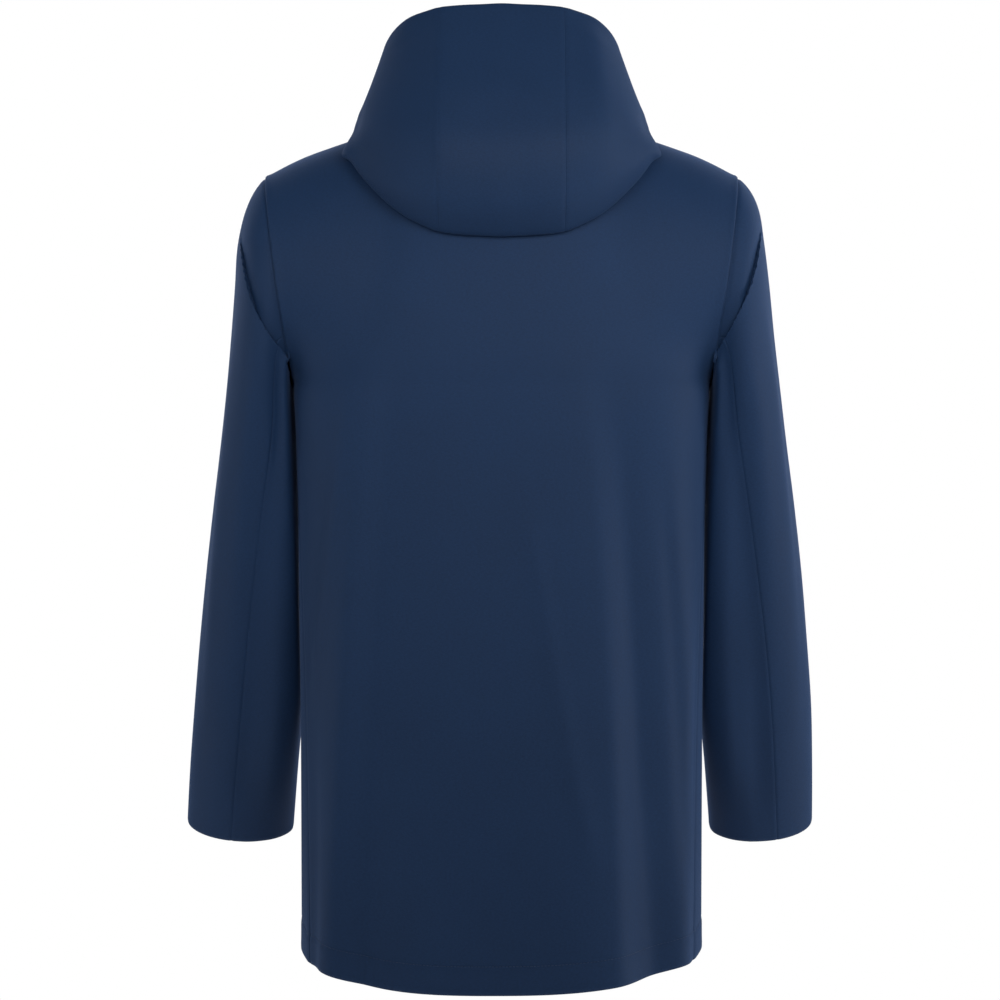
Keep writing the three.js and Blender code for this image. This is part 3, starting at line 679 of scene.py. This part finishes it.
def thread_finish(name, tone):
    """Sewing thread: fine fibres that catch a little more light than the cloth."""
    material, tree, shader = new_finish(name)
    fibre = object_noise(tree, (-4, 0), Scale=2600.0, Detail=2.0, Roughness=0.6)
    tinted(tree, shader, [1.15 * c for c in tone[:3]], maths(tree, "ADD", fibre, 0.5, (-3, 1)))
    tree.links.new(scaled(tree, fibre, 0.2, 0.45, (-3, 0)), shader.inputs["Roughness"])
    raised(tree, shader, fibre, 0.4, 0.1 * MM)
    shader.inputs["Sheen Weight"].default_value = 0.1
    return material


def floor_finish(name):
    """Pale painted board: hardly uneven in tone and gloss."""
    material, tree, shader = new_finish(name)
    cloud = object_noise(tree, (-4, 0), Scale=2.5, Detail=3.0)
    tinted(tree, shader, (0.8, 0.8, 0.8), scaled(tree, cloud, 0.06, 0.97, (-3, 1)))
    tree.links.new(scaled(tree, cloud, 0.1, 0.75, (-3, 0)), shader.inputs["Roughness"])
    return material


def finish(name):
    """The finish of that name, made the first time it is asked for."""
    made = bpy.data.materials.get(name)
    if made:
        return made
    colours = bpy.context.scene.parka_colours
    if name == "shell_cloth":
        return cloth_finish(name, colours.shell, 2200, 1.0, 0.35, 0.62, 0.10)
    if name == "hood_cloth":
        return cloth_finish(name, colours.hood, 2200, 1.0, 0.35, 0.62, 0.05)
    if name == "zip_webbing":
        return cloth_finish(name, colours.webbing, 1300, 0.6, 0.9, 0.8, 0.1)
    if name == "shell_thread":
        return thread_finish(name, colours.shell)
    if name == "pale_floor":
        return floor_finish(name)
    return metal_finish(name, colours.metal)


# ---- Shaping ----

UNDERARM_ROW = 8  # of the body panels' grids
SHOULDER_COLUMN = 4  # where the shoulder seam meets the neckline, counted from the armhole
BACK_FAR_SHOULDER, FRONT_FAR_SHOULDER = 20, 7  # the same seam's column, counted from a grid's start
HOOD_CELL, TAPE_CELL = 2.9 * MM, 3.6 * MM
SIDE_FADE, TOP_FADE = 30 * MM, 40 * MM  # folds grow over this much from a seam
SIDE_FILL = 1.2 * MM
PLEAT_GAIN = 1.45  # the back's pleats stand out this much more than their stops say
BACKWARD, UP = np.array([0.0, 1.0, 0.0]), np.array([0.0, 0.0, 1.0])
HEM_RELIEF, ZIP_RELIEF = 0.55 * MM, 0.3 * MM  # how far the doubled cloth stands out
ZIP_STITCHING = 13 * MM  # from the zip's edge
SEAM_CORNER = 0.189  # how far out the side seams reach the hem
HEM_REACH = 90 * MM  # how far up from the hem its rise is felt, and on the fronts how far from the side seam
# Each stop is out from the middle, and the fold's height and depth there.
FOLD_LINE = [
    (0, -0.1275, 0.0042),
    (0.050, -0.1245, 0.0043),
    (0.100, -0.102, 0.0044),
    (0.130, -0.073, 0.0030),
    (0.147, -0.045, 0.001),
]
# Each stop is a place across the hem and how far the hem rises there, in millimetres.
HEM_RISE = [
    (-0.205, 7.5),
    (-0.190, 9.0),
    (-0.176, 9.0),
    (-0.160, 7.6),
    (-0.143, 5.8),
    (-0.120, 5.3),
    (-0.090, 4.2),
    (-0.060, 2.2),
    (-0.030, 0.5),
    (0.000, -0.7),
    (0.050, -1.7),
    (0.100, -2.0),
    (0.130, -1.0),
    (0.150, 1.0),
    (0.175, 3.8),
    (0.205, 6.0),
]
# Each crease's stops run from the sleeve's outer line in to the armhole.
CREASES = {
    1: [
        (0.262, -0.098),
        (0.2555, -0.128),
        (0.2535, -0.156),
        (0.2455, -0.182),
        (0.2355, -0.204),
        (0.2265, -0.222),
        (0.209, -0.243),
    ],
    -1: [
        (0.262, -0.092),
        (0.2545, -0.118),
        (0.2515, -0.145),
        (0.2435, -0.171),
        (0.2315, -0.198),
        (0.2190, -0.225),
        (0.206, -0.247),
    ],
}


def facing(panel, way):
    """How far the cloth faces the back (1) or the front (-1)."""
    normal = panel.normal if panel.steady is None else panel.steady
    return smooth_step(way * normal[..., 1], -0.15, 0.4)


class Crease:
    """A curve in x and z with each point of a panel measured from it: away is across it, past beyond its ends."""

    def __init__(self, panel, side, stops):
        x, z = np.array(stops).T
        t = np.linspace(0, 1, len(x))
        fine = np.linspace(0, 1, 160)
        px = np.polyval(np.polyfit(t, x, 4), fine)
        pz = np.polyval(np.polyfit(t, z, 4), fine)
        tx, tz = np.gradient(px), np.gradient(pz)
        size = np.hypot(tx, tz)
        dx = side * panel.x[..., None] - px
        dz = panel.z[..., None] - pz
        near = np.argmin(dx**2 + dz**2, axis=2)
        dx = np.take_along_axis(dx, near[..., None], axis=2)[..., 0]
        dz = np.take_along_axis(dz, near[..., None], axis=2)[..., 0]
        tx, tz = (tx / size)[near], (tz / size)[near]
        self.away = tx * dz - tz * dx
        self.past = dx * tx + dz * tz
        self.place = fine[near]
        self.across = np.stack([side * tz, 0 * tx, -tx], axis=-1)  # to the hollow side


def meet_crease(panel, side, stops, way):
    """Slides the grid's points on either side of a crease up to it, so that it cuts cleanly through the cloth."""
    crease = Crease(panel, side, stops)
    above = crease.away > 0
    close = (np.abs(crease.past) < 4 * MM) & (facing(panel, way) > 0.3)
    touch = np.zeros_like(above)
    rows = above[1:] != above[:-1]
    touch[1:] |= rows
    touch[:-1] |= rows
    cols = above[:, 1:] != above[:, :-1]
    touch[:, 1:] |= cols
    touch[:, :-1] |= cols
    touch &= close & (np.abs(crease.away) < 4 * MM)
    touch[0] = touch[-1] = False
    step = crease.away - np.where(above, 0.25, -0.25) * MM
    lean = (panel.steady * crease.across).sum(axis=2)
    slide = (crease.across - panel.steady * lean[..., None]) / np.maximum(1 - lean**2, 0.3)[..., None]
    along = np.gradient(panel.grid, axis=0)
    along /= np.linalg.norm(along, axis=2, keepdims=True)
    for column in (0, -1):  # a seam's points stay on the seam
        cut = np.zeros(len(above), dtype=bool)
        cut[1:] |= rows[:, column]
        cut[:-1] |= rows[:, column]
        touch[:, column] &= cut
        slope = (along[:, column] * crease.across[:, column]).sum(axis=1)
        slope = np.where(np.abs(slope) < 0.25, np.inf, slope)
        slide[:, column] = along[:, column] / slope[:, None]
    panel.push(np.where(touch, step, 0), slide)
    here = facing(panel, way) > 0.05
    panel.above = np.where(here, above, above if panel.above is None else panel.above)


def drag_fold(panel, side, stops, lip, hollow, lap, way):
    """A crease from the sleeve's outer line in to the armhole, whose lower side laps the hollow above it."""
    meet_crease(panel, side, stops, way)
    crease = Crease(panel, side, stops)
    away, place = crease.away, crease.place
    strength = bell(crease.past, 9 * MM) * facing(panel, way)
    strength = strength * smooth_step(panel.from_edge("top"), 0, 2 * MM) * smooth_step(place, 0.04, 0.28)
    over = away > 0
    deep = hollow * (0.25 + 0.75 * smooth_step(place, 0.05, 0.7))
    rise = lip * bell(away, 24 * MM) * over
    fall = -deep * np.exp(-np.abs(away) / (13 * MM)) * ~over
    shift = lap * np.where(over, bell(away, 7 * MM), -bell(away, 4 * MM))
    lean = (panel.steady * crease.across).sum(axis=2, keepdims=True)
    slide = crease.across - panel.steady * lean
    slide = slide / np.maximum(np.linalg.norm(slide, axis=2, keepdims=True), 1e-9)
    move = ((rise + fall) * strength)[..., None] * panel.steady
    move = move + (shift * strength)[..., None] * slide
    panel.grid = panel.grid + move
    panel.measure()


def select_faces(piece, chosen):
    """Selects a piece's faces in edit mode by a test of each face."""
    shape = bmesh.from_edit_mesh(piece.data)
    for face in shape.faces:
        face.select_set(bool(chosen(face)))
    shape.select_flush_mode()
    bmesh.update_edit_mesh(piece.data)


def stitch_shape(length, thickness):
    """One stitch of thread along x, rounded at its ends."""
    bpy.ops.object.select_all(action="DESELECT")
    bpy.ops.mesh.primitive_cylinder_add(
        vertices=6, radius=thickness / 2, depth=0.7 * length, rotation=(0, math.pi / 2, 0)
    )
    stitch = bpy.context.object
    bpy.ops.object.transform_apply(location=True, rotation=True, scale=True)
    bpy.ops.object.mode_set(mode="EDIT")
    for way in (1, -1):
        select_faces(stitch, lambda face: way * face.normal.x > 0.9)
        bpy.ops.mesh.extrude_region_move(TRANSFORM_OT_translate={"value": (way * 0.15 * length, 0, -0.3 * thickness)})
        bpy.ops.transform.resize(value=(1, 0.55, 0.55), center_override=(way * 0.5 * length, 0, -0.3 * thickness))
    bpy.ops.object.mode_set(mode="OBJECT")
    return stitch


def tooth_shape():
    """One zip tooth along x: a clasp round the tape's edge, a neck, and a head across the middle."""
    bpy.ops.object.select_all(action="DESELECT")
    bpy.ops.mesh.primitive_cube_add(size=1)
    tooth = bpy.context.object
    bpy.ops.object.mode_set(mode="EDIT")
    bpy.ops.mesh.select_all(action="SELECT")
    bpy.ops.transform.resize(value=(2.3 * MM, 1.3 * MM, 2.2 * MM))
    bpy.ops.transform.translate(value=(1.5 * MM, 0, 0))
    for move, high, wide in ((0.35, 0.62, 0.8), (0.35, 1.0, 1.0), (0.5, 1.7, 1.1)):
        select_faces(tooth, lambda face: face.normal.x < -0.9)
        bpy.ops.mesh.extrude_region_move(TRANSFORM_OT_translate={"value": (-move * MM, 0, 0)})
        bpy.ops.transform.resize(value=(1, high, wide), center_override=(0, 0, 0))
    bpy.ops.object.mode_set(mode="OBJECT")
    soften = tooth.modifiers.new("soften", "BEVEL")
    soften.width, soften.segments, soften.limit_method = 0.14 * MM, 1, "ANGLE"
    soften.angle_limit = math.radians(50)
    bpy.ops.object.modifier_apply(modifier=soften.name)
    return tooth


def stitched(panel, edge, distance, name):
    """A line of stitches at a distance from one of the cloth's edges."""
    cloth = bpy.context.scene.parka_cloth
    places, ahead, outward = evenly(*line_at(panel, edge, distance), cloth.stitch)
    places = places + 0.1 * MM * outward
    unit = stitch_shape(0.78 * cloth.stitch, 0.45 * MM)
    return repeated(unit, places, ahead, outward, name, finish("shell_thread"))


def press_fold(panel, line):
    """Presses the hood's lower fold against the back: line's stops are out from the middle, height and depth."""
    out, low, deep = np.array(line).T
    low = np.polyval(np.polyfit(out, low, 3), np.abs(panel.x))
    deep = np.polyval(np.polyfit(out, deep, 3), np.abs(panel.x))
    share = (1 - smooth_step(panel.z, low - 4 * MM, low + 32 * MM)) * smooth_step(panel.y, 0.050, 0.080)
    panel.push(-deep * share, BACKWARD)


def declare(node):
    """Hides the node's CAD part, which the piece now stands for."""
    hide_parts(node)


# ---- The parka's pieces ----


class PARKA_OT_back(bpy.types.Operator):
    """The back, one panel from hem to neck with long soft folds"""

    bl_idname = "parka.back"
    bl_label = "Back"

    def execute(self, context):
        cloth = context.scene.parka_cloth
        shoulders = (SHOULDER_COLUMN, BACK_FAR_SHOULDER)
        panel = Panel("back", cloth.cell, cloth.wall, "top start end", (UNDERARM_ROW, (0, -1)), shoulders, 30)
        pleats = [
            ([(0.200, -0.20), (0.200, -0.85)], (0, 0)),
            ([(0.172, -0.25), (0.190, -0.60), (0.196, -0.85)], (-0.5, -3.5)),
            ([(0.124, -0.20), (0.149, -0.50), (0.168, -0.85)], (1.0, 5.0)),
            ([(0.096, -0.20), (0.119, -0.50), (0.132, -0.85)], (-0.8, -6.5)),
            ([(-0.066, -0.20), (-0.094, -0.50), (-0.106, -0.85)], (1.5, 9.0)),
            ([(-0.098, -0.20), (-0.128, -0.50), (-0.150, -0.85)], (-0.5, -4.5)),
            ([(-0.150, -0.20), (-0.176, -0.50), (-0.186, -0.85)], (0.8, 6.0)),
            ([(-0.200, -0.20), (-0.200, -0.85)], (0, 0)),
        ]
        folds = [
            ([(0.150, -0.30), (0.163, -0.40), (0.181, -0.54)], (1.5, 2.5), (9, 11), (0.06, 0.1)),
            ([(-0.034, -0.44), (-0.050, -0.54), (-0.075, -0.68)], (1.4, 2.2), (9, 12), (0.08, 0.1)),
            ([(-0.158, -0.42), (-0.168, -0.56), (-0.176, -0.70)], (-2.2, -3.0), (9, 11), (0.10, 0.1)),
            ([(-0.120, -0.36), (-0.126, -0.50), (-0.130, -0.66)], (-1.0, -1.5), (9, 12), (0.08, 0.1)),
        ]
        amount = PLEAT_GAIN * drape(panel, pleats, -0.20, -0.85) + sum(long_fold(panel, *fold) for fold in folds)
        inside = np.minimum(panel.from_edge("start"), panel.from_edge("end"))
        panel.push(amount * smooth_step(inside, 0, SIDE_FADE) * smooth_step(panel.from_edge("top"), 0, TOP_FADE))
        fill_side(panel, SIDE_FILL)
        for side in (1, -1):
            square_off(panel, side, 5 * MM, (-0.80, -0.55), (-0.33, -0.22), 0.2)
        tuck = bell(panel.x - 0.045, 0.11) * np.clip((-0.50 - panel.z) / 0.35, 0, 1) ** 2
        panel.push(-10 * MM * tuck, BACKWARD)
        raise_hem(panel, 1.0)
        panel.measure()
        armhole = smooth_step(panel.z, -0.262, -0.246)
        sew(panel, "start end", cloth.dip, cloth.dip_width, 1 - armhole)
        for edge in ("start", "end"):
            panel.push(0.9 * MM * armhole * bell(panel.from_edge(edge), 5 * MM))
            panel.push(-0.7 * MM * armhole * bell(panel.from_edge(edge), 1.0 * MM))
        panel.measure()
        turn_up(panel, "bottom", cloth.turn_up, HEM_RELIEF)
        piece = cloth_piece(panel, "back_panel", finish("shell_cloth"))
        hem = stitched(panel, "bottom", cloth.turn_up, "back_hem_stitches")
        declare("back")
        return {"FINISHED"}


class PARKA_OT_fronts(bpy.types.Operator):
    """The two fronts, each from hem to neck and from side seam to zip"""

    bl_idname = "parka.fronts"
    bl_label = "Fronts"

    def execute(self, context):
        cloth = context.scene.parka_cloth
        for name, side in (("front_left", 1), ("front_right", -1)):
            zip_edge, seam_edge = ("start", "end") if side > 0 else ("end", "start")
            shoulder = FRONT_FAR_SHOULDER if side > 0 else SHOULDER_COLUMN
            underarm = (UNDERARM_ROW, (-1 if side > 0 else 0,))
            panel = Panel(name, cloth.cell, cloth.wall, "top start end", underarm, (shoulder,), 30)
            lean = 0.004 if side > 0 else -0.005
            folds = [
                (
                    [(0.070 + lean, -0.22), (0.085 + lean, -0.45), (0.105 + lean, -0.78)],
                    (2.5, 4.5),
                    (17, 24),
                    (0.08, 0.05),
                ),
                ([(0.120 + lean, -0.30), (0.132, -0.48), (0.150, -0.70)], (-2.5, -4.5), (15, 19), (0.08, 0.08)),
                ([(0.150, -0.28), (0.160 + lean, -0.42), (0.176, -0.56)], (2.0, 3.0), (12, 14), (0.06, 0.1)),
                ([(0.045, -0.50), (0.052 + lean, -0.66), (0.060, -0.84)], (-2.0, -4.0), (24, 30), (0.12, 0.02)),
            ]
            amount = sum(long_fold(panel, *fold, side) for fold in folds)
            inside = smooth_step(panel.from_edge(seam_edge), 0, SIDE_FADE)
            inside = inside * smooth_step(panel.from_edge(zip_edge), 14 * MM, 50 * MM)
            panel.push(amount * inside * smooth_step(panel.from_edge("top"), 0, TOP_FADE))
            fill_side(panel, SIDE_FILL)
            raise_hem(panel, 0.85 * (1 - smooth_step(panel.from_edge(seam_edge), 0, HEM_REACH)))
            panel.measure()
            sew(panel, seam_edge, cloth.dip, cloth.dip_width)
            turn_up(panel, "bottom", cloth.turn_up, HEM_RELIEF)
            turn_up(panel, zip_edge, ZIP_STITCHING, ZIP_RELIEF)
            piece = cloth_piece(panel, name + "_panel", finish("shell_cloth"))
            hem = stitched(panel, "bottom", cloth.turn_up, name + "_hem_stitches")
            line = stitched(panel, zip_edge, ZIP_STITCHING, name + "_zip_stitches")
            declare(name)
        return {"FINISHED"}


class PARKA_OT_sleeves(bpy.types.Operator):
    """The two-piece sleeves, with a crease at the back of each armhole"""

    bl_idname = "parka.sleeves"
    bl_label = "Sleeves"

    def execute(self, context):
        cloth = context.scene.parka_cloth
        for side, label in ((1, "left"), (-1, "right")):
            for part in ("upper", "under"):
                node = f"sleeve_{label}_{part}"
                panel = Panel(node, cloth.fine_cell, cloth.wall, "top start end", ease=16)
                if part == "under":
                    press_side(panel, side, 8)
                seam = panel.from_edge("top")
                folds = [
                    ([(0.268, -0.26), (0.285, -0.42), (0.296, -0.58)], (2.0, 1.5), (16, 14), (0.08, 0.1), 1),
                    ([(0.240, -0.30), (0.246, -0.44), (0.262, -0.66)], (-1.5, -2.5), (14, 13), (0.05, 0.06), 1),
                    ([(0.225, -0.34), (0.222, -0.46), (0.232, -0.64)], (1.5, 2.0), (10, 10), (0.06, 0.08), 1),
                    ([(0.262, -0.25), (0.270, -0.40), (0.285, -0.56)], (2.0, 2.5), (15, 15), (0.08, 0.1), -1),
                    ([(0.236, -0.34), (0.240, -0.46), (0.262, -0.64)], (-2.0, -2.5), (13, 13), (0.06, 0.08), -1),
                ]
                amount = 0
                for *fold, way in folds:
                    amount = amount + long_fold(panel, *fold, side) * facing(panel, way)
                bend = [
                    ((0.236, -0.118, -0.395), (0.050, 0.05, 0.010), 2.6),
                    ((0.246, -0.128, -0.425), (0.045, 0.05, 0.011), 2.2),
                    ((0.238, -0.125, -0.365), (0.040, 0.05, 0.009), 1.8),
                ]
                for (x, y, z), reach, depth in bend:
                    amount = amount + dent(panel, (side * x, y, z + 0.006 * side), reach, depth * MM)
                ends = smooth_step(seam, 0, 30 * MM) * smooth_step(panel.from_edge("bottom"), 0, 40 * MM)
                panel.push(amount * ends)
                panel.measure()
                panel.steady = panel.normal
                sew(panel, "start end", 0.7 * cloth.dip, 0.55 * cloth.dip_width, smooth_step(seam, 15 * MM, 70 * MM))
                drag_fold(panel, side, CREASES[side], 0.8 * MM, 6.0 * MM, 2.3 * MM, 1)
                drag_fold(panel, side, CREASES[side], 0.6 * MM, 4.5 * MM, 2.0 * MM, -1)
                sew(panel, "top", 2.2 * cloth.dip, 1.2 * cloth.dip_width)
                panel.push(-0.5 * MM * bell(panel.from_edge("bottom"), 1.5 * MM))
                panel.measure()
                piece = cloth_piece(panel, node + "_panel", finish("shell_cloth"))
                piece.data.set_sharp_from_angle(angle=math.radians(66))
                declare(node)
        return {"FINISHED"}


class PARKA_OT_hood(bpy.types.Operator):
    """The hood's three panels, rolled at the neck and folded under along its lower edge"""

    bl_idname = "parka.hood"
    bl_label = "Hood"

    def execute(self, context):
        cloth = context.scene.parka_cloth
        for name in ("hood_left", "hood_centre", "hood_right"):
            sewn = {"hood_left": "bottom end", "hood_centre": "bottom start end", "hood_right": "bottom start"}[name]
            panel = Panel(name, HOOD_CELL, cloth.wall, sewn, ease=12, rows_like="hood_centre")
            shapes = [
                ((-0.090, 0.125, 0.020), (0.016, 0.08, 0.050), -1.8),
                ((-0.112, 0.110, -0.040), (0.020, 0.08, 0.040), 1.6),
                ((0.100, 0.125, 0.010), (0.022, 0.08, 0.060), 1.4),
                ((0.020, 0.150, -0.020), (0.050, 0.08, 0.030), 1.0),
                ((-0.030, 0.130, 0.050), (0.045, 0.08, 0.020), -1.0),
            ]
            amount = sum(dent(panel, centre, reach, depth * MM) for centre, reach, depth in shapes)
            upper = smooth_step(panel.from_edge("top"), 0, 30 * MM)
            panel.push(amount * upper)
            if name != "hood_centre":
                edge, lean, reach = ("end", -7.5, 30 * MM) if name == "hood_left" else ("start", 12.0, 60 * MM)
                away = 1 - np.exp(-panel.from_edge(edge) / reach)
                level = smooth_step(panel.z, -0.100, -0.050) * smooth_step(panel.normal[..., 1], 0.25, 0.8)
                panel.push(lean * MM * away * level * upper, BACKWARD)
            press_fold(panel, FOLD_LINE)
            panel.measure()
            for side in (1, -1):
                nudge(panel, (side * 0.150, 0.040, -0.015), (0.018, 0.050, 0.016), (-side * 0.0072, 0, 0))
                nudge(panel, (side * 0.152, 0.035, -0.038), (0.020, 0.045, 0.009), (side * 0.0078, 0, -0.006))
            panel.measure()
            sew(panel, " ".join(e for e in sewn.split() if e != "bottom"), 0.7 * cloth.dip, cloth.dip_width)
            piece = cloth_piece(panel, name + "_panel", finish("hood_cloth"))
            declare(name)
        return {"FINISHED"}


class PARKA_OT_zip(bpy.types.Operator):
    """The zip's two woven tapes with their teeth, and the finish of its slider, pull and box"""

    bl_idname = "parka.zip"
    bl_label = "Zip"

    def execute(self, context):
        sizes = context.scene.parka_zip
        low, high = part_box("zip_box")[1][2] + 0.8 * MM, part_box("zip_slider")[0][2] - 0.8 * MM
        for name, side in (("zip_tape_left", 1), ("zip_tape_right", -1)):
            panel = Panel(name, TAPE_CELL, sizes.tape, ease=2)
            piece = cloth_piece(panel, name + "_sheet", finish("zip_webbing"))
            edge, outward = line_at(panel, "start" if side > 0 else "end", 0)
            edge = edge - 0.5 * sizes.tape * outward
            edge[:, 0] = 0
            places, up, outward = evenly(edge, outward, sizes.pitch, 0 if side > 0 else sizes.pitch / 2)
            keep = (places[:, 2] > low) & (places[:, 2] < high)
            across = side * np.cross(up, outward)
            teeth = repeated(
                tooth_shape(),
                places[keep],
                across[keep],
                outward[keep],
                name.replace("tape", "teeth"),
                finish("zip_metal"),
            )
            declare(name)
        for name in ("zip_slider", "zip_pull", "zip_box"):
            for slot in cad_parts[name].material_slots:
                slot.material = finish("zip_metal")
        return {"FINISHED"}


# ---- The stage ----


class PARKA_OT_stage(bpy.types.Operator):
    """A pale floor under the wearer's feet, soft lights and the camera"""

    bl_idname = "parka.stage"
    bl_label = "Stage"

    def execute(self, context):
        stage = context.scene.parka_stage
        bpy.ops.object.select_all(action="DESELECT")
        bpy.ops.mesh.primitive_circle_add(
            vertices=96, radius=stage.floor_radius, fill_type="NGON", location=(0, 0, stage.floor_height)
        )
        floor = context.object
        floor.name = "floor"
        floor.data.materials.append(finish("pale_floor"))
        lights = [
            ("key", (-0.75, 1.6, 0.3), (-0.05, 0.0, 0.07), (0.9, 0.9), 3.2, 76, True),
            ("fill", (0.6, 1.75, 0.25), (0.05, 0.0, 0.05), (0.9, 0.9), 2.35, 76, True),
            ("side", (-2.3, 0.35, -0.15), (0.0, 0.0, -0.3), (1.0, 1.8), 25, 180, True),
            ("far side", (2.3, 0.3, -0.5), (0.0, 0.0, -0.5), (1.0, 1.6), 9, 180, True),
            ("backdrop", (-0.5, -1.1, 0.35), (-0.5, 0.0, 0.2), (5.0, 1.9), 115, 180, False),
        ]
        for name, place, aim, size, power, spread, glossy in lights:
            data = bpy.data.lights.new(name, "AREA")
            data.shape, data.size, data.size_y, data.energy = "RECTANGLE", size[0], size[1], power
            data.spread = math.radians(spread)
            light = bpy.data.objects.new(name, data)
            context.scene.collection.objects.link(light)
            light.location = place
            light.rotation_euler = (Vector(aim) - Vector(place)).to_track_quat("-Z", "Y").to_euler()
            light.visible_camera = False
            light.visible_glossy = glossy
        world = bpy.data.worlds.new("studio")
        context.scene.world = world
        world.use_nodes = True
        tree = world.node_tree
        tree.nodes.clear()
        path = add(tree, "ShaderNodeLightPath", (-4, 1))
        seen = add(tree, "ShaderNodeBackground", (-3, 0), Strength=1.0)
        seen.inputs["Color"].default_value = (1, 1, 1, 1)
        lit = add(tree, "ShaderNodeBackground", (-3, -1), Strength=0.16)
        lit.inputs["Color"].default_value = (0.96, 0.98, 1, 1)
        mix = add(tree, "ShaderNodeMixShader", (-2, 0))
        out = add(tree, "ShaderNodeOutputWorld", (-1, 0))
        tree.links.new(path.outputs["Is Camera Ray"], mix.inputs[0])
        tree.links.new(lit.outputs[0], mix.inputs[1])
        tree.links.new(seen.outputs[0], mix.inputs[2])
        tree.links.new(mix.outputs[0], out.inputs[0])
        context.scene.view_settings.view_transform = "Standard"
        data = bpy.data.cameras.new("camera")
        data.lens, data.sensor_width = stage.lens, 36
        camera = bpy.data.objects.new("camera", data)
        context.scene.collection.objects.link(camera)
        camera.location = (0.0015, stage.camera_back, stage.camera_height)
        camera.rotation_euler = (math.pi / 2, 0, math.pi)
        context.scene.camera = camera
        return {"FINISHED"}


class PARKA_PT_panel(bpy.types.Panel):
    bl_idname = "PARKA_PT_panel"
    bl_label = "Hooded parka"
    bl_space_type = "VIEW_3D"
    bl_region_type = "UI"
    bl_category = "Parka"

    def draw(self, context):
        for operator in OPERATORS:
            self.layout.operator(operator.bl_idname)
        for group in GROUPS:
            settings = getattr(context.scene, group)
            for key in GROUPS[group].__annotations__:
                self.layout.prop(settings, key)


GROUPS = {
    "parka_cloth": ParkaCloth,
    "parka_zip": ParkaZip,
    "parka_colours": ParkaColours,
    "parka_stage": ParkaStage,
}
OPERATORS = [PARKA_OT_back, PARKA_OT_fronts, PARKA_OT_sleeves, PARKA_OT_hood, PARKA_OT_zip, PARKA_OT_stage]


def register():
    for kind in [*GROUPS.values(), *OPERATORS, PARKA_PT_panel]:
        bpy.utils.register_class(kind)
    for name, group in GROUPS.items():
        setattr(bpy.types.Scene, name, bpy.props.PointerProperty(type=group))


def unregister():
    for name in GROUPS:
        delattr(bpy.types.Scene, name)
    for kind in [PARKA_PT_panel, *OPERATORS, *GROUPS.values()]:
        bpy.utils.unregister_class(kind)


def main():
    register()
    bpy.ops.parka.back()
    bpy.ops.parka.fronts()
    bpy.ops.parka.sleeves()
    bpy.ops.parka.hood()
    bpy.ops.parka.zip()
    bpy.ops.parka.stage()


if __name__ == "__main__":
    main()
